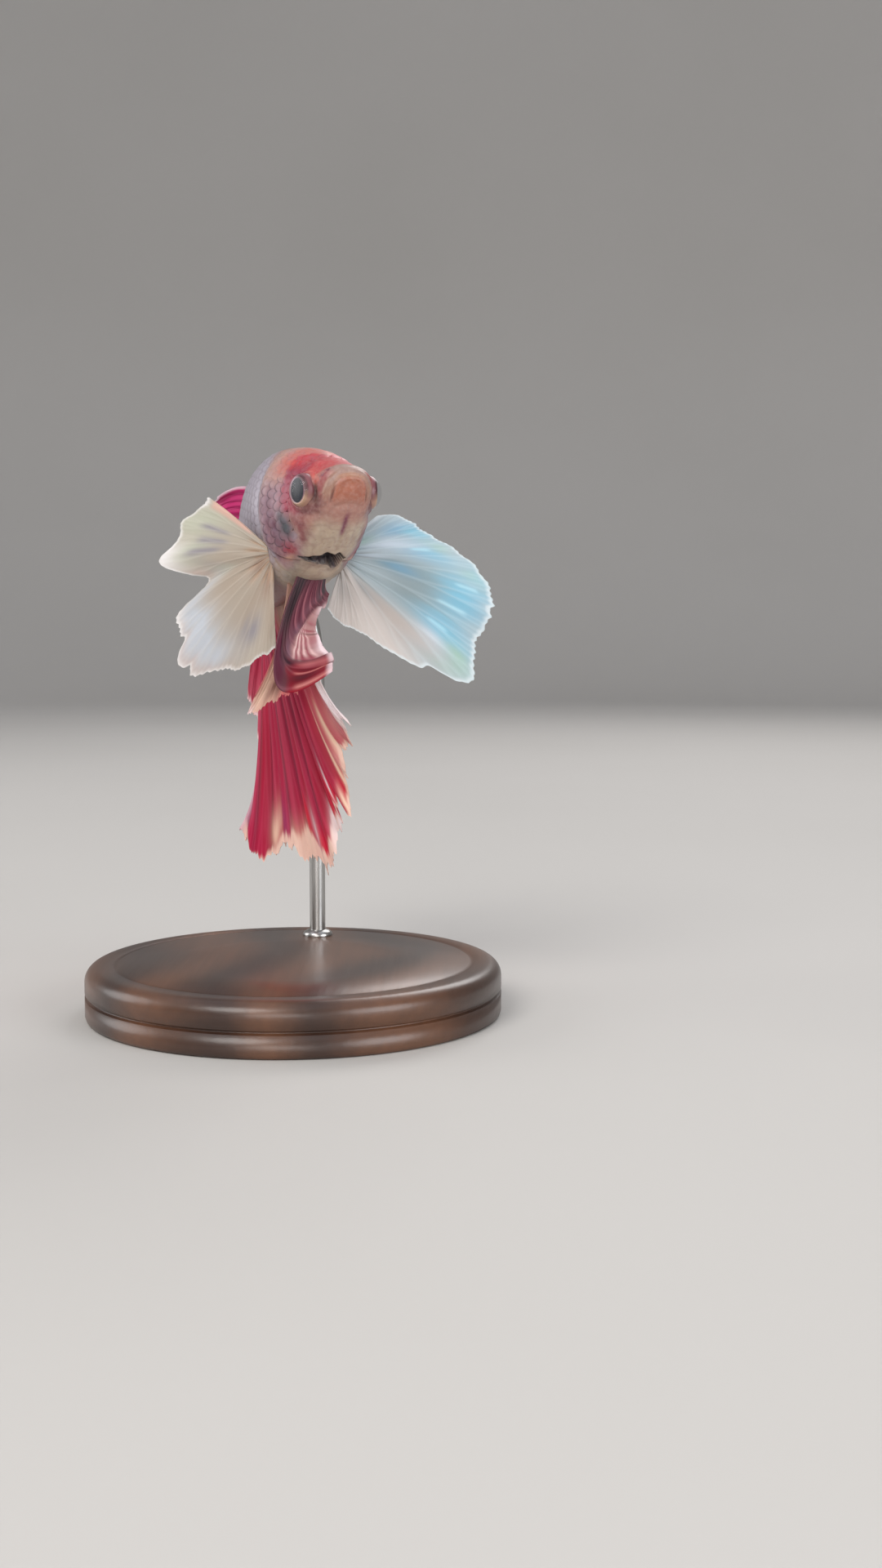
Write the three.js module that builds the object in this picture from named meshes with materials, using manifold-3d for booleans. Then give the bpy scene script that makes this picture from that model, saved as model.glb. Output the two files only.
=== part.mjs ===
// A betta fish: a big-eared half-moon male of Betta splendens, as a still, life-size model held
// by a plain display stand. Millimetres, +Z up. The underside of the stand is z = 0 and its
// centre is the origin. The head looks toward -Y and is turned toward +X.

import * as THREE from 'three';
import { mergeVertices } from 'three/addons/utils/BufferGeometryUtils.js';
import Module from 'manifold-3d';

const wasm = await Module();
wasm.setup();

// ---------- driving sizes ----------

const BODY_LENGTH = 48;
const GAP = 0.3;
const FIN_THICKNESS = 0.52;
const FIN_ROOT_DEPTH = 0.9;

const EYE_STATION = 4.75;
const EYE_MIDPOINT = new THREE.Vector3(5.7, -10.35, 59.0);
const EYE_RADIUS = 1.85;
const EYE_DOME = 1.5;
const EYE_SPREAD = 3.75;
const EYE_FORWARD = 15;

const BASE_RADIUS = 24;
const BASE_HEIGHT = 6;
const BASE_EDGE = 1.2;
const ROD_RADIUS = 1;
const ROD_HOLE_DEPTH = 4;

// Profiles of the body as [station behind the snout, value] pairs. Heights are measured from a
// spine line that passes midway between the eyes.
const TURN = [[0, 25], [14, 26], [22, 24], [30, 14], [38, 4], [48, -4]];
const SLOPE = [[0, 9.5], [12, 10], [20, 17], [30, 19], [48, 16]];
const BACK = [
  [0, 0.9], [0.4, 1.6], [1.2, 2.05], [2.5, 2.6], [4, 3.3], [7, 4.9], [10, 6.15],
  [14, 7.4], [18, 8.3], [24, 8.3], [30, 6.6], [36, 4.9], [42, 3.5], [48, 3.0],
];
const BELLY = [
  [0, -0.2], [0.4, -1.0], [1.2, -2.1], [2.5, -3.4], [4, -4.6], [7, -6.3], [10, -7.4],
  [14, -8.4], [18, -8.6], [24, -8.0], [30, -6.6], [36, -5.0], [42, -3.6], [48, -3.1],
];
const HALF_WIDTH = [
  [0, 1.2], [0.4, 2.0], [1.2, 2.75], [2.5, 3.55], [4, 4.1], [7, 4.75], [10, 5.5],
  [12.5, 6.2], [14, 5.9], [16, 5.7], [20, 5.4], [28, 3.8], [36, 2.5], [42, 1.6], [48, 1.1],
];
const WIDEST_LEVEL = [[0, 0.3], [4, -0.3], [8, -1.2], [14, -1.0], [24, -0.6], [36, -0.2], [48, 0]];

// ---------- small helpers ----------

const clamp = (x, low, high) => Math.min(Math.max(x, low), high);
const mix = (a, b, t) => a + (b - a) * t;
const radians = (degrees) => degrees * Math.PI / 180;
const UP = new THREE.Vector3(0, 0, 1);

function smooth(low, high, x) {
  const t = clamp((x - low) / (high - low), 0, 1);
  return t * t * (3 - 2 * t);
}

// A smooth curve through [station, value] pairs, as a function of the station.
function profile(pairs) {
  const slope = (i) => {
    const before = pairs[Math.max(i - 1, 0)];
    const after = pairs[Math.min(i + 1, pairs.length - 1)];
    return (after[1] - before[1]) / (after[0] - before[0]);
  };
  return (station) => {
    const x = clamp(station, pairs[0][0], pairs.at(-1)[0]);
    let i = 0;
    while (i < pairs.length - 2 && x > pairs[i + 1][0]) i += 1;
    const [x0, y0] = pairs[i];
    const [x1, y1] = pairs[i + 1];
    const h = x1 - x0;
    const t = (x - x0) / h;
    const rise = y0 * (1 + 2 * t) * (1 - t) ** 2 + y1 * t * t * (3 - 2 * t);
    return rise + h * (slope(i) * t * (1 - t) ** 2 - slope(i + 1) * t * t * (1 - t));
  };
}

// Values given at even steps across a fin, from its first ray (0) to its last (1).
const across = (values) => profile(values.map((value, i) => [i / (values.length - 1), value]));

// ---------- solids ----------

// A closed solid from points and triangles, turned outward if its triangles face in.
function solid(points, triangles) {
  let volume = 0;
  for (const [a, b, c] of triangles) {
    volume += points[a].dot(new THREE.Vector3().crossVectors(points[b], points[c]));
  }
  const outward = volume > 0 ? triangles : triangles.map(([a, b, c]) => [a, c, b]);
  const mesh = new wasm.Mesh({
    numProp: 3,
    vertProperties: Float32Array.from(points.flatMap((p) => [p.x, p.y, p.z])),
    triVerts: Uint32Array.from(outward.flat()),
  });
  return new wasm.Manifold(mesh);
}

function solidOfGeometry(geometry) {
  geometry.deleteAttribute('normal');
  geometry.deleteAttribute('uv');
  const merged = mergeVertices(geometry, 1e-4);
  const place = merged.getAttribute('position');
  const points = [];
  for (let i = 0; i < place.count; i += 1) points.push(new THREE.Vector3().fromBufferAttribute(place, i));
  const triangles = [];
  const index = merged.getIndex().array;
  for (let i = 0; i < index.length; i += 3) {
    const [a, b, c] = [index[i], index[i + 1], index[i + 2]];
    if (a !== b && b !== c && c !== a) triangles.push([a, b, c]);
  }
  return solid(points, triangles);
}

// A closed loft through rings of points, with a flat fan over each end.
function loft(rings, startCentre, endCentre) {
  const points = [...rings.flat(), startCentre, endCentre];
  const around = rings[0].length;
  const start = points.length - 2;
  const end = points.length - 1;
  const last = (rings.length - 1) * around;
  const triangles = [];
  for (let k = 0; k < around; k += 1) {
    const next = (k + 1) % around;
    triangles.push([start, next, k]);
    triangles.push([end, last + k, last + next]);
    for (let r = 0; r < rings.length - 1; r += 1) {
      const low = r * around;
      const high = low + around;
      triangles.push([low + k, low + next, high + next]);
      triangles.push([low + k, high + next, high + k]);
    }
  }
  return solid(points, triangles);
}

// ---------- the spine and the body around it ----------

const turnAt = profile(TURN);
const slopeAt = profile(SLOPE);

// The direction from head to tail at a station.
function backward(station) {
  const turn = radians(turnAt(station));
  const slope = radians(slopeAt(station));
  return new THREE.Vector3(
    -Math.sin(turn) * Math.cos(slope),
    Math.cos(turn) * Math.cos(slope),
    -Math.sin(slope),
  );
}

const SPINE_STEP = 0.25;
const spine = [new THREE.Vector3()];
for (let s = 0; s < BODY_LENGTH; s += SPINE_STEP) {
  spine.push(spine.at(-1).clone().addScaledVector(backward(s + SPINE_STEP / 2), SPINE_STEP));
}
const spineShift = EYE_MIDPOINT.clone().sub(spine[EYE_STATION / SPINE_STEP]);
for (const point of spine) point.add(spineShift);

// The spine point and the body's own axes at a station. It runs on straight past both ends.
function bodyFrame(station) {
  const inside = clamp(station, 0, BODY_LENGTH);
  const i = Math.min(Math.floor(inside / SPINE_STEP), spine.length - 2);
  const back = backward(inside);
  const left = new THREE.Vector3(Math.cos(radians(turnAt(inside))), Math.sin(radians(turnAt(inside))), 0);
  const centre = spine[i].clone().lerp(spine[i + 1], inside / SPINE_STEP - i);
  centre.addScaledVector(back, station - inside);
  return { centre, back, left, up: new THREE.Vector3().crossVectors(left, back).normalize() };
}

function inBody(station, side, height) {
  const { centre, left, up } = bodyFrame(station);
  return centre.addScaledVector(left, side).addScaledVector(up, height);
}

const backAt = profile(BACK);
const bellyAt = profile(BELLY);
const halfWidthAt = profile(HALF_WIDTH);
const levelAt = profile(WIDEST_LEVEL);

// A point of the body's surface. The angle runs from the left side (0) over the back.
function bodySurface(station, angle, grow = 0) {
  const level = levelAt(station);
  const rise = Math.sin(angle) > 0 ? backAt(station) - level : level - bellyAt(station);
  const side = (halfWidthAt(station) + grow) * Math.sign(Math.cos(angle)) * Math.abs(Math.cos(angle)) ** 0.92;
  return inBody(station, side, level + (rise + grow) * Math.sin(angle));
}

function ringAt(station, around, pointAt) {
  const ring = [];
  for (let k = 0; k < around; k += 1) ring.push(pointAt(station, 2 * Math.PI * k / around));
  return ring;
}

function bodySolid(from, to, count, grow) {
  const rings = [];
  for (let i = 0; i <= count; i += 1) {
    const t = i / count;
    const station = mix(from, to, from === 0 ? t ** 1.35 : t);
    rings.push(ringAt(station, 20, (s, angle) => bodySurface(s, angle, grow)));
  }
  const startLevel = (backAt(from) + bellyAt(from)) / 2;
  const start = inBody(from - (from === 0 ? 0.15 + grow : 0), 0, startLevel);
  return loft(rings, start, inBody(to, 0, 0));
}

const wholeBody = bodySolid(0, BODY_LENGTH, 21, 0);
const clearBody = bodySolid(0, BODY_LENGTH + 0.25, 21, 0.25);

// ---------- parting the body ----------

const BLOCK_RADIUS = 14;

// Everything ahead of a cut whose station depends on the angle around the body.
function blockAhead(cutAt, shift) {
  const ring = (station, radius) => ringAt(station, 20, (s, angle) => {
    const cut = station ?? cutAt(angle) + shift(angle);
    return inBody(cut, radius * Math.cos(angle), radius * Math.sin(angle));
  });
  return loft([ring(-4, BLOCK_RADIUS), ring(null, BLOCK_RADIUS), ring(null, 5)], inBody(-4, 0, 0),
    inBody(cutAt(Math.PI / 2) + shift(Math.PI / 2), 0, 0));
}

const underside = (angle) => clamp(-Math.sin(angle), 0, 1);
const gillCutAt = (angle) => 12.9 + 0.6 * (1 - Math.abs(Math.sin(angle))) - 4.6 * underside(angle) ** 3;
const gillGap = (angle) => GAP + 1.0 * underside(angle) ** 6;

const headBlock = blockAhead(gillCutAt, () => 0);
const headAndGap = blockAhead(gillCutAt, gillGap);
const blockTo = (station) => blockAhead(() => station, () => 0);

const TRUNK_END = 26;
const REAR_END = 38;

// ---------- eyes ----------

// A flattened ball whose short axis looks sideways and a little forward.
function eyeball(side, grow) {
  const geometry = new THREE.SphereGeometry(1, 14, 8);
  geometry.scale(EYE_RADIUS + grow, EYE_DOME + grow, EYE_RADIUS + grow);
  geometry.rotateZ(radians(turnAt(EYE_STATION) - side * (90 + EYE_FORWARD)));
  const centre = inBody(EYE_STATION, side * EYE_SPREAD, 0);
  geometry.translate(centre.x, centre.y, centre.z);
  return solidOfGeometry(geometry);
}

// ---------- lower jaw and gill covers ----------

const MOUTH_HALF_WIDTH = 2.15;
const MOUTH_TOP = 0.75;
const MOUTH_CORNER = -1.0;
const JAW_DEPTH = 2.6;

// The lower jaw fills the arch of the mouth, seen from the front.
function jawBlock(grow) {
  const outline = (station, angle) => {
    const x = Math.cos(angle);
    const z = Math.sin(angle);
    const side = (MOUTH_HALF_WIDTH + grow) * Math.sign(x) * Math.abs(x) ** 0.7;
    const drop = 5.5 + grow;
    const height = z > 0
      ? MOUTH_CORNER + (MOUTH_TOP - MOUTH_CORNER + grow) * z ** 0.8
      : MOUTH_CORNER + drop * z;
    return inBody(station + 0.5 * Math.max(-z, 0), side, height);
  };
  const back = JAW_DEPTH + grow;
  return loft([ringAt(-2, 16, outline), ringAt(back, 16, outline)], inBody(-2, 0, -1), inBody(back, 0, -1));
}

const COVER_STATION = 10.6;
const COVER_HALF_LENGTH = 2.1;
const COVER_LEVEL = -1.6;
const COVER_HALF_HEIGHT = 4.3;

// A gill cover is a shell plate: an oval seen from the side, through the cheek's skin.
function coverBlock(side, grow) {
  const oval = (reach) => {
    const ring = [];
    for (let k = 0; k < 14; k += 1) {
      const angle = 2 * Math.PI * k / 14;
      const station = COVER_STATION + (COVER_HALF_LENGTH + grow) * Math.cos(angle);
      const height = COVER_LEVEL + (COVER_HALF_HEIGHT + grow) * Math.sin(angle);
      ring.push(inBody(station, side * reach, height));
    }
    return ring;
  };
  return loft([oval(1.5), oval(9)], inBody(COVER_STATION, side * 1.5, COVER_LEVEL),
    inBody(COVER_STATION, side * 9, COVER_LEVEL));
}

const COVER_THICKNESS = 0.8;
const underCover = bodySolid(5, 16, 8, -COVER_THICKNESS);
const underSeat = bodySolid(5, 16, 8, -COVER_THICKNESS - GAP);

// ---------- fins ----------

// A direction in the fish's own terms: heading 0 is straight back, 90 its left and -90 its right.
function direction(station, heading, rise) {
  const turn = radians(turnAt(station));
  const across = new THREE.Vector3(Math.cos(turn), Math.sin(turn), 0);
  const back = new THREE.Vector3(-Math.sin(turn), Math.cos(turn), 0);
  const flat = Math.cos(radians(rise));
  return back.multiplyScalar(flat * Math.cos(radians(heading)))
    .addScaledVector(across, flat * Math.sin(radians(heading)))
    .addScaledVector(UP, Math.sin(radians(rise)));
}

// Where a point of the smooth, unfolded fin lies. Each ray leaves its root in one direction and
// bends evenly into another; a runs from the first ray to the last and t from root to tip.
function finPoint(fin, a, t) {
  const scallop = (1 - Math.cos(2 * Math.PI * fin.rays * a)) / 2;
  const length = fin.length(a) * (1 - fin.web * scallop);
  const out = direction(fin.station, fin.heading(a), fin.rise(a));
  const bent = direction(fin.station, fin.tipHeading(a), fin.tipRise(a));
  return fin.root(a)
    .addScaledVector(out, length * (1 - fin.bend(a)) * (2 * t - t * t))
    .addScaledVector(bent, length * fin.bend(a) * t * t);
}

// The fin's middle surface with its folds and ray ridges.
function foldedPoint(fin, a, t) {
  const step = 0.01;
  const alongBase = finPoint(fin, Math.min(a + step, 1), t).sub(finPoint(fin, Math.max(a - step, 0), t));
  const alongRay = finPoint(fin, a, Math.min(t + step, 1)).sub(finPoint(fin, a, Math.max(t - step, 0)));
  const normal = alongBase.cross(alongRay).normalize();
  const folds = fin.foldDepth * (0.1 + 0.9 * t) * Math.sin(2 * Math.PI * fin.folds * a);
  const ridges = fin.ridge * smooth(0, 0.3, t) * Math.cos(2 * Math.PI * fin.rays * a);
  return finPoint(fin, a, t).addScaledVector(normal, folds + ridges);
}

// A closed sheet of even thickness around the folded surface.
function finSolid(fin) {
  const columns = fin.rays * 2;
  const rows = fin.rows;
  const middle = [];
  for (let i = 0; i <= columns; i += 1) {
    for (let j = 0; j <= rows; j += 1) middle.push(foldedPoint(fin, i / columns, j / rows));
  }
  const at = (i, j) => clamp(i, 0, columns) * (rows + 1) + clamp(j, 0, rows);
  const sides = [1, -1].map((side) => middle.map((point, n) => {
    const i = Math.floor(n / (rows + 1));
    const j = n % (rows + 1);
    const alongBase = middle[at(i + 1, j)].clone().sub(middle[at(i - 1, j)]);
    const alongRay = middle[at(i, j + 1)].clone().sub(middle[at(i, j - 1)]);
    const normal = alongBase.cross(alongRay).normalize();
    return point.clone().addScaledVector(normal, side * FIN_THICKNESS / 2);
  }));
  const far = middle.length;
  const triangles = [];
  const quad = (a, b, c, d) => triangles.push([a, b, c], [a, c, d]);
  for (let i = 0; i < columns; i += 1) {
    for (let j = 0; j < rows; j += 1) {
      const [a, b, c, d] = [at(i, j), at(i + 1, j), at(i + 1, j + 1), at(i, j + 1)];
      quad(a, b, c, d);
      quad(far + a, far + d, far + c, far + b);
    }
    quad(at(i, 0), far + at(i, 0), far + at(i + 1, 0), at(i + 1, 0));
    quad(at(i + 1, rows), far + at(i + 1, rows), far + at(i, rows), at(i, rows));
  }
  for (let j = 0; j < rows; j += 1) {
    quad(at(0, j + 1), far + at(0, j + 1), far + at(0, j), at(0, j));
    quad(at(columns, j), far + at(columns, j), far + at(columns, j + 1), at(columns, j + 1));
  }
  return solid([...sides[0], ...sides[1]], triangles).subtract(clearBody);
}

// A root line from one place on the body to another, sunk a little below the skin.
function rootLine(from, to) {
  return (a) => inBody(mix(from.station, to.station, a), mix(from.side, to.side, a), mix(from.height, to.height, a));
}

const backLine = (from, to) => (a) => {
  const station = mix(from, to, a);
  return inBody(station, 0, backAt(station) - FIN_ROOT_DEPTH);
};

const bellyLine = (from, to) => (a) => {
  const station = mix(from, to, a);
  return inBody(station, 0, bellyAt(station) + FIN_ROOT_DEPTH);
};

const PLAIN = { web: 0.04, folds: 1, foldDepth: 0, ridge: 0.12, rows: 4, bend: across([0.5, 0.5]) };

const pectoralRight = {
  ...PLAIN,
  station: 14,
  rays: 16,
  folds: 3,
  foldDepth: 0.45,
  root: rootLine({ station: 13.5, side: -5.0, height: -4.2 }, { station: 15.0, side: -4.1, height: -6.2 }),
  web: 0.02,
  length: across([10.4, 11.4, 13.4, 13.5, 16, 12, 9.6, 15.6, 16.2, 18.2, 17.8, 14.9, 13.5, 12, 10.5, 10, 9]),
  heading: across([-38, -37, -28]),
  tipHeading: across([-24, -24, -18]),
  rise: across([40, 21, 2, -14, -31, -48, -66, -82, -95]),
  tipRise: across([28, 9, -8, -21, -35, -48, -64, -78, -90]),
};

const pectoralLeft = {
  ...PLAIN,
  station: 14,
  rays: 16,
  folds: 3,
  foldDepth: 0.4,
  root: rootLine({ station: 13.9, side: 4.1, height: -4.2 }, { station: 14.3, side: 3.9, height: -6.2 }),
  web: 0.02,
  length: across([5.5, 7.5, 9, 10.5, 13, 15.5, 17.5, 19, 18.5, 19, 20.5, 15, 10.5, 8, 7, 6, 5]),
  heading: across([110, 112, 114]),
  tipHeading: across([100, 102, 106]),
  rise: across([48, 26, 9, -6, -23, -40, -62, -84, -108]),
  tipRise: across([38, 16, -1, -16, -31, -46, -68, -90, -108]),
};

const ventralLeft = {
  ...PLAIN,
  station: 12,
  rays: 9,
  rows: 7,
  bend: across([0.4, 0.4, 0.36, 0.28, 0.32, 0.34]),
  root: rootLine({ station: 12.6, side: -1.9, height: -7.2 }, { station: 12.8, side: 1.7, height: -7.1 }),
  length: across([34, 26.5, 23.5, 18.5, 14, 9.5, 7, 6.5, 4.5, 3]),
  heading: across([-84, -80, -76]),
  tipHeading: across([100, 104, 108]),
  rise: across([-69, -66, -63, -67, -68, -70]),
  tipRise: across([36, 19, 14, -4, -13, -37]),
};

const ventralRight = {
  ...PLAIN,
  station: 12,
  rays: 5,
  rows: 6,
  bend: across([0.4, 0.44, 0.38, 0.42]),
  root: rootLine({ station: 15, side: -2.2, height: -7.2 }, { station: 16, side: -1.2, height: -7.4 }),
  length: across([14, 17, 15, 13.5, 13]),
  heading: across([-64, -64, -64]),
  tipHeading: across([-64, -64, -64]),
  rise: across([-83, -87, -90]),
  tipRise: across([-60, -56, -67, -80, -93]),
};

const dorsal = {
  ...PLAIN,
  station: 30,
  rays: 10,
  folds: 2,
  foldDepth: 0.4,
  root: backLine(27, 36),
  length: across([11.5, 13, 14, 14.5, 13, 9]),
  heading: across([-26, -26, -20]),
  tipHeading: across([-30, -28, -24]),
  rise: across([30, 10, -12]),
  tipRise: across([-24, -25, -38]),
};

const anal = {
  ...PLAIN,
  station: 26,
  rays: 24,
  rows: 5,
  folds: 6,
  foldDepth: 0.55,
  web: 0.03,
  root: bellyLine(19, 42.5),
  length: across([
    18, 16.5, 19, 20, 20, 22, 23, 24, 28, 26, 28, 29, 32,
    33, 34, 32.5, 32, 31, 30, 31, 32, 31, 30, 30, 29,
  ]),
  bend: across([0.34, 0.3, 0.3, 0.3, 0.26]),
  heading: across([114, 114, 114]),
  tipHeading: across([114, 114, 114]),
  rise: across([-82, -78, -76, -76, -76, -79, -84, -90, -89]),
  tipRise: across([-40, -48, -54, -62, -70, -79, -88, -101, -122]),
};

const caudal = {
  ...PLAIN,
  station: 48,
  rays: 12,
  rows: 5,
  folds: 3,
  foldDepth: 0.5,
  root: rootLine({ station: 47, side: 0, height: 2.3 }, { station: 47, side: 0, height: -2.3 }),
  length: across([19, 21, 22, 21, 20, 18]),
  heading: across([-22, -18, -14]),
  tipHeading: across([-32, -34, -40]),
  rise: across([0, -20, -40, -60, -80]),
  tipRise: across([-70, -80, -86, -90, -94]),
};

// ---------- stand ----------

function standBase() {
  const profilePoints = [new THREE.Vector2(0, 0), new THREE.Vector2(BASE_RADIUS, 0)];
  for (let k = 0; k <= 2; k += 1) {
    const angle = radians(90 * k / 2);
    profilePoints.push(new THREE.Vector2(
      BASE_RADIUS - BASE_EDGE + BASE_EDGE * Math.cos(angle),
      BASE_HEIGHT - BASE_EDGE + BASE_EDGE * Math.sin(angle),
    ));
  }
  profilePoints.push(new THREE.Vector2(0, BASE_HEIGHT));
  const geometry = new THREE.LatheGeometry(profilePoints, 36);
  geometry.rotateX(Math.PI / 2);
  return solidOfGeometry(geometry);
}

// The rod rises from its hole in the base and bends in to the left flank, behind the anal fin.
const ROD_X = 1.5;
const ROD_Y = 16.6;
const rodPath = new THREE.CatmullRomCurve3([
  new THREE.Vector3(ROD_X, ROD_Y, BASE_HEIGHT - ROD_HOLE_DEPTH),
  new THREE.Vector3(ROD_X, ROD_Y, 24),
  new THREE.Vector3(ROD_X, ROD_Y, 40),
  new THREE.Vector3(ROD_X - 1, ROD_Y - 0.4, 46.5),
  new THREE.Vector3(ROD_X - 3.2, ROD_Y - 0.9, 51),
]);

function rod(radius, path, steps) {
  const disc = new THREE.Shape().absarc(0, 0, radius, 0, 2 * Math.PI);
  return solidOfGeometry(new THREE.ExtrudeGeometry(disc, { steps, curveSegments: 6, extrudePath: path }));
}

const hole = new THREE.LineCurve3(
  new THREE.Vector3(ROD_X, ROD_Y, BASE_HEIGHT - ROD_HOLE_DEPTH - 0.05),
  new THREE.Vector3(ROD_X, ROD_Y, BASE_HEIGHT + 1),
);

// ---------- assembly ----------

const group = new THREE.Group();
group.name = 'betta_fish';

function add(name, manifold, color, roughness = 0.45, metalness = 0) {
  const mesh = manifold.getMesh();
  const geometry = new THREE.BufferGeometry();
  geometry.setAttribute('position', new THREE.BufferAttribute(Float32Array.from(mesh.vertProperties), 3));
  geometry.setIndex(Array.from(mesh.triVerts));
  const material = new THREE.MeshStandardMaterial({ color, roughness, metalness });
  const part = new THREE.Mesh(geometry, material);
  part.name = name;
  group.add(part);
}

const head = wholeBody.intersect(headBlock)
  .subtract(jawBlock(GAP / 2))
  .subtract(eyeball(-1, GAP))
  .subtract(eyeball(1, GAP))
  .subtract(coverBlock(-1, GAP / 2).subtract(underSeat))
  .subtract(coverBlock(1, GAP / 2).subtract(underSeat));
const cover = (side) => wholeBody.intersect(headBlock)
  .intersect(coverBlock(side, -GAP / 2))
  .subtract(underCover);
const behindHead = wholeBody.subtract(headAndGap);

add('head', head, 0xd8b8ae);
add('lower_jaw', wholeBody.intersect(jawBlock(-GAP / 2)), 0xd9a07a);
add('gill_cover_right', cover(-1), 0xa9939a);
add('gill_cover_left', cover(1), 0xa9939a);
add('eye_right', eyeball(-1, 0), 0x2b3040, 0.1);
add('eye_left', eyeball(1, 0), 0x2b3040, 0.1);
add('trunk', behindHead.intersect(blockTo(TRUNK_END)), 0xb9aeb4);
add('rear_body', behindHead.subtract(blockTo(TRUNK_END + GAP)).intersect(blockTo(REAR_END)), 0xb3a6ae);
add('tail_stem', behindHead.subtract(blockTo(REAR_END + GAP)), 0xa88f9c);
add('pectoral_fin_right', finSolid(pectoralRight), 0xd9d3c6);
add('pectoral_fin_left', finSolid(pectoralLeft), 0xc4d7e0);
add('ventral_fin_right', finSolid(ventralRight), 0xb98f80);
add('ventral_fin_left', finSolid(ventralLeft), 0x6a2638);
add('dorsal_fin', finSolid(dorsal), 0xb03a6b);
add('anal_fin', finSolid(anal), 0xb02444);
add('caudal_fin', finSolid(caudal), 0xa82a50);
add('stand_base', standBase().subtract(rod(ROD_RADIUS + 0.15, hole, 1)), 0x3a2c24, 0.5);
add('stand_rod', rod(ROD_RADIUS, rodPath, 8).subtract(clearBody), 0xb8b8b8, 0.3, 1);

export default group;
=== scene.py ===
"""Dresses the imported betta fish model: skin, scales, eyes, fins and stand, in metres."""
from functools import partial

import bpy
import numpy as np
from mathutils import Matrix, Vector


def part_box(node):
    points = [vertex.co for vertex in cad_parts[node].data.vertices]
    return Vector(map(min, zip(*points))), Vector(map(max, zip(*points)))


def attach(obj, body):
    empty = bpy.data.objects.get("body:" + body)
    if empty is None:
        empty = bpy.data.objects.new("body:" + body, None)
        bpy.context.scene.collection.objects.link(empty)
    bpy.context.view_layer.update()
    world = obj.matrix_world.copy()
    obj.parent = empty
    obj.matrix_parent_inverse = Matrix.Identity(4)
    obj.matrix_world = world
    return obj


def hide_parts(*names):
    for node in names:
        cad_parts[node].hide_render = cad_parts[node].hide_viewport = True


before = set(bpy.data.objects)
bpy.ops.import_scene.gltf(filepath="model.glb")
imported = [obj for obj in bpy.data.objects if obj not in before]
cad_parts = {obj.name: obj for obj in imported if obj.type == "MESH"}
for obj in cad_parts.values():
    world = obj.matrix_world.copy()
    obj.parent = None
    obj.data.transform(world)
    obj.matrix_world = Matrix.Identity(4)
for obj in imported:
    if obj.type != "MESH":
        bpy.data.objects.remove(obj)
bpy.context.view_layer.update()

MM = 0.001
TAU = 2 * np.pi
UP = np.array([0.0, 0.0, 1.0])
SCENE = bpy.context.scene

# ---------- camera ----------

CAMERA_AT = (0.017, -0.200, 0.044)
CAMERA_PITCH = 5
LENS = 40
SENSOR = 36
NEAREST_SEEN = 0.005

camera_data = bpy.data.cameras.new("camera")
camera_data.lens = LENS
camera_data.sensor_width = SENSOR
camera_data.clip_start = NEAREST_SEEN
camera = bpy.data.objects.new("camera", camera_data)
camera.location = CAMERA_AT
camera.rotation_euler = (np.radians(90 - CAMERA_PITCH), 0, 0)
SCENE.collection.objects.link(camera)
SCENE.camera = camera


# ---------- small helpers ----------


def smooth(low, high, x):
    """0 at low, 1 at high and an even curve between them. Where high is the lower, it falls."""
    t = np.clip((np.asarray(x, float) - low) / (high - low), 0, 1)
    return t * t * (3 - 2 * t)


def window(low, full, fading, end, x):
    """0 up to low, 1 from full to fading and 0 again from end on."""
    return smooth(low, full, x) * smooth(end, fading, x)


def bell(x, width):
    return np.exp(-((np.asarray(x, float) / width) ** 2))


def unit(vectors):
    return vectors / np.linalg.norm(vectors, axis=-1, keepdims=True)


def turn_of(count):
    """The angles of evenly spaced points around a circle."""
    return TAU * np.arange(count) / count


def mix(a, b, t):
    return a + (b - a) * t


def profile(pairs):
    """A smooth curve through [place, value] pairs, as a function of the place."""
    x, y = np.array(pairs, float).T
    before = np.maximum(np.arange(len(x)) - 1, 0)
    after = np.minimum(np.arange(len(x)) + 1, len(x) - 1)
    slope = (y[after] - y[before]) / (x[after] - x[before])

    def at(s):
        s = np.clip(np.asarray(s, float), x[0], x[-1])
        i = np.clip(np.searchsorted(x, s, side="left") - 1, 0, len(x) - 2)
        h = x[i + 1] - x[i]
        t = (s - x[i]) / h
        rise = y[i] * (1 + 2 * t) * (1 - t) ** 2 + y[i + 1] * t * t * (3 - 2 * t)
        return rise + h * (slope[i] * t * (1 - t) ** 2 - slope[i + 1] * t * t * (1 - t))

    return at


def across(values):
    """Values given at even steps across a fin, from its first ray (0) to its last (1)."""
    return profile([[i / (len(values) - 1), v] for i, v in enumerate(values)])


def hashed(*whole):
    """A repeatable number from 0 to 1 for whole-number coordinates."""
    h = np.zeros(np.broadcast(*whole).shape, np.uint64)
    for k, w in enumerate(whole):
        factor = np.uint64(0x9E3779B97F4A7C15 + 2 * k * 7919)
        h ^= np.asarray(w).astype(np.int64).astype(np.uint64) * factor
        h = (h ^ (h >> np.uint64(29))) * np.uint64(0xBF58476D1CE4E5B9)
        h ^= h >> np.uint64(32)
    return (h >> np.uint64(11)).astype(float) / float(1 << 53)


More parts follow.
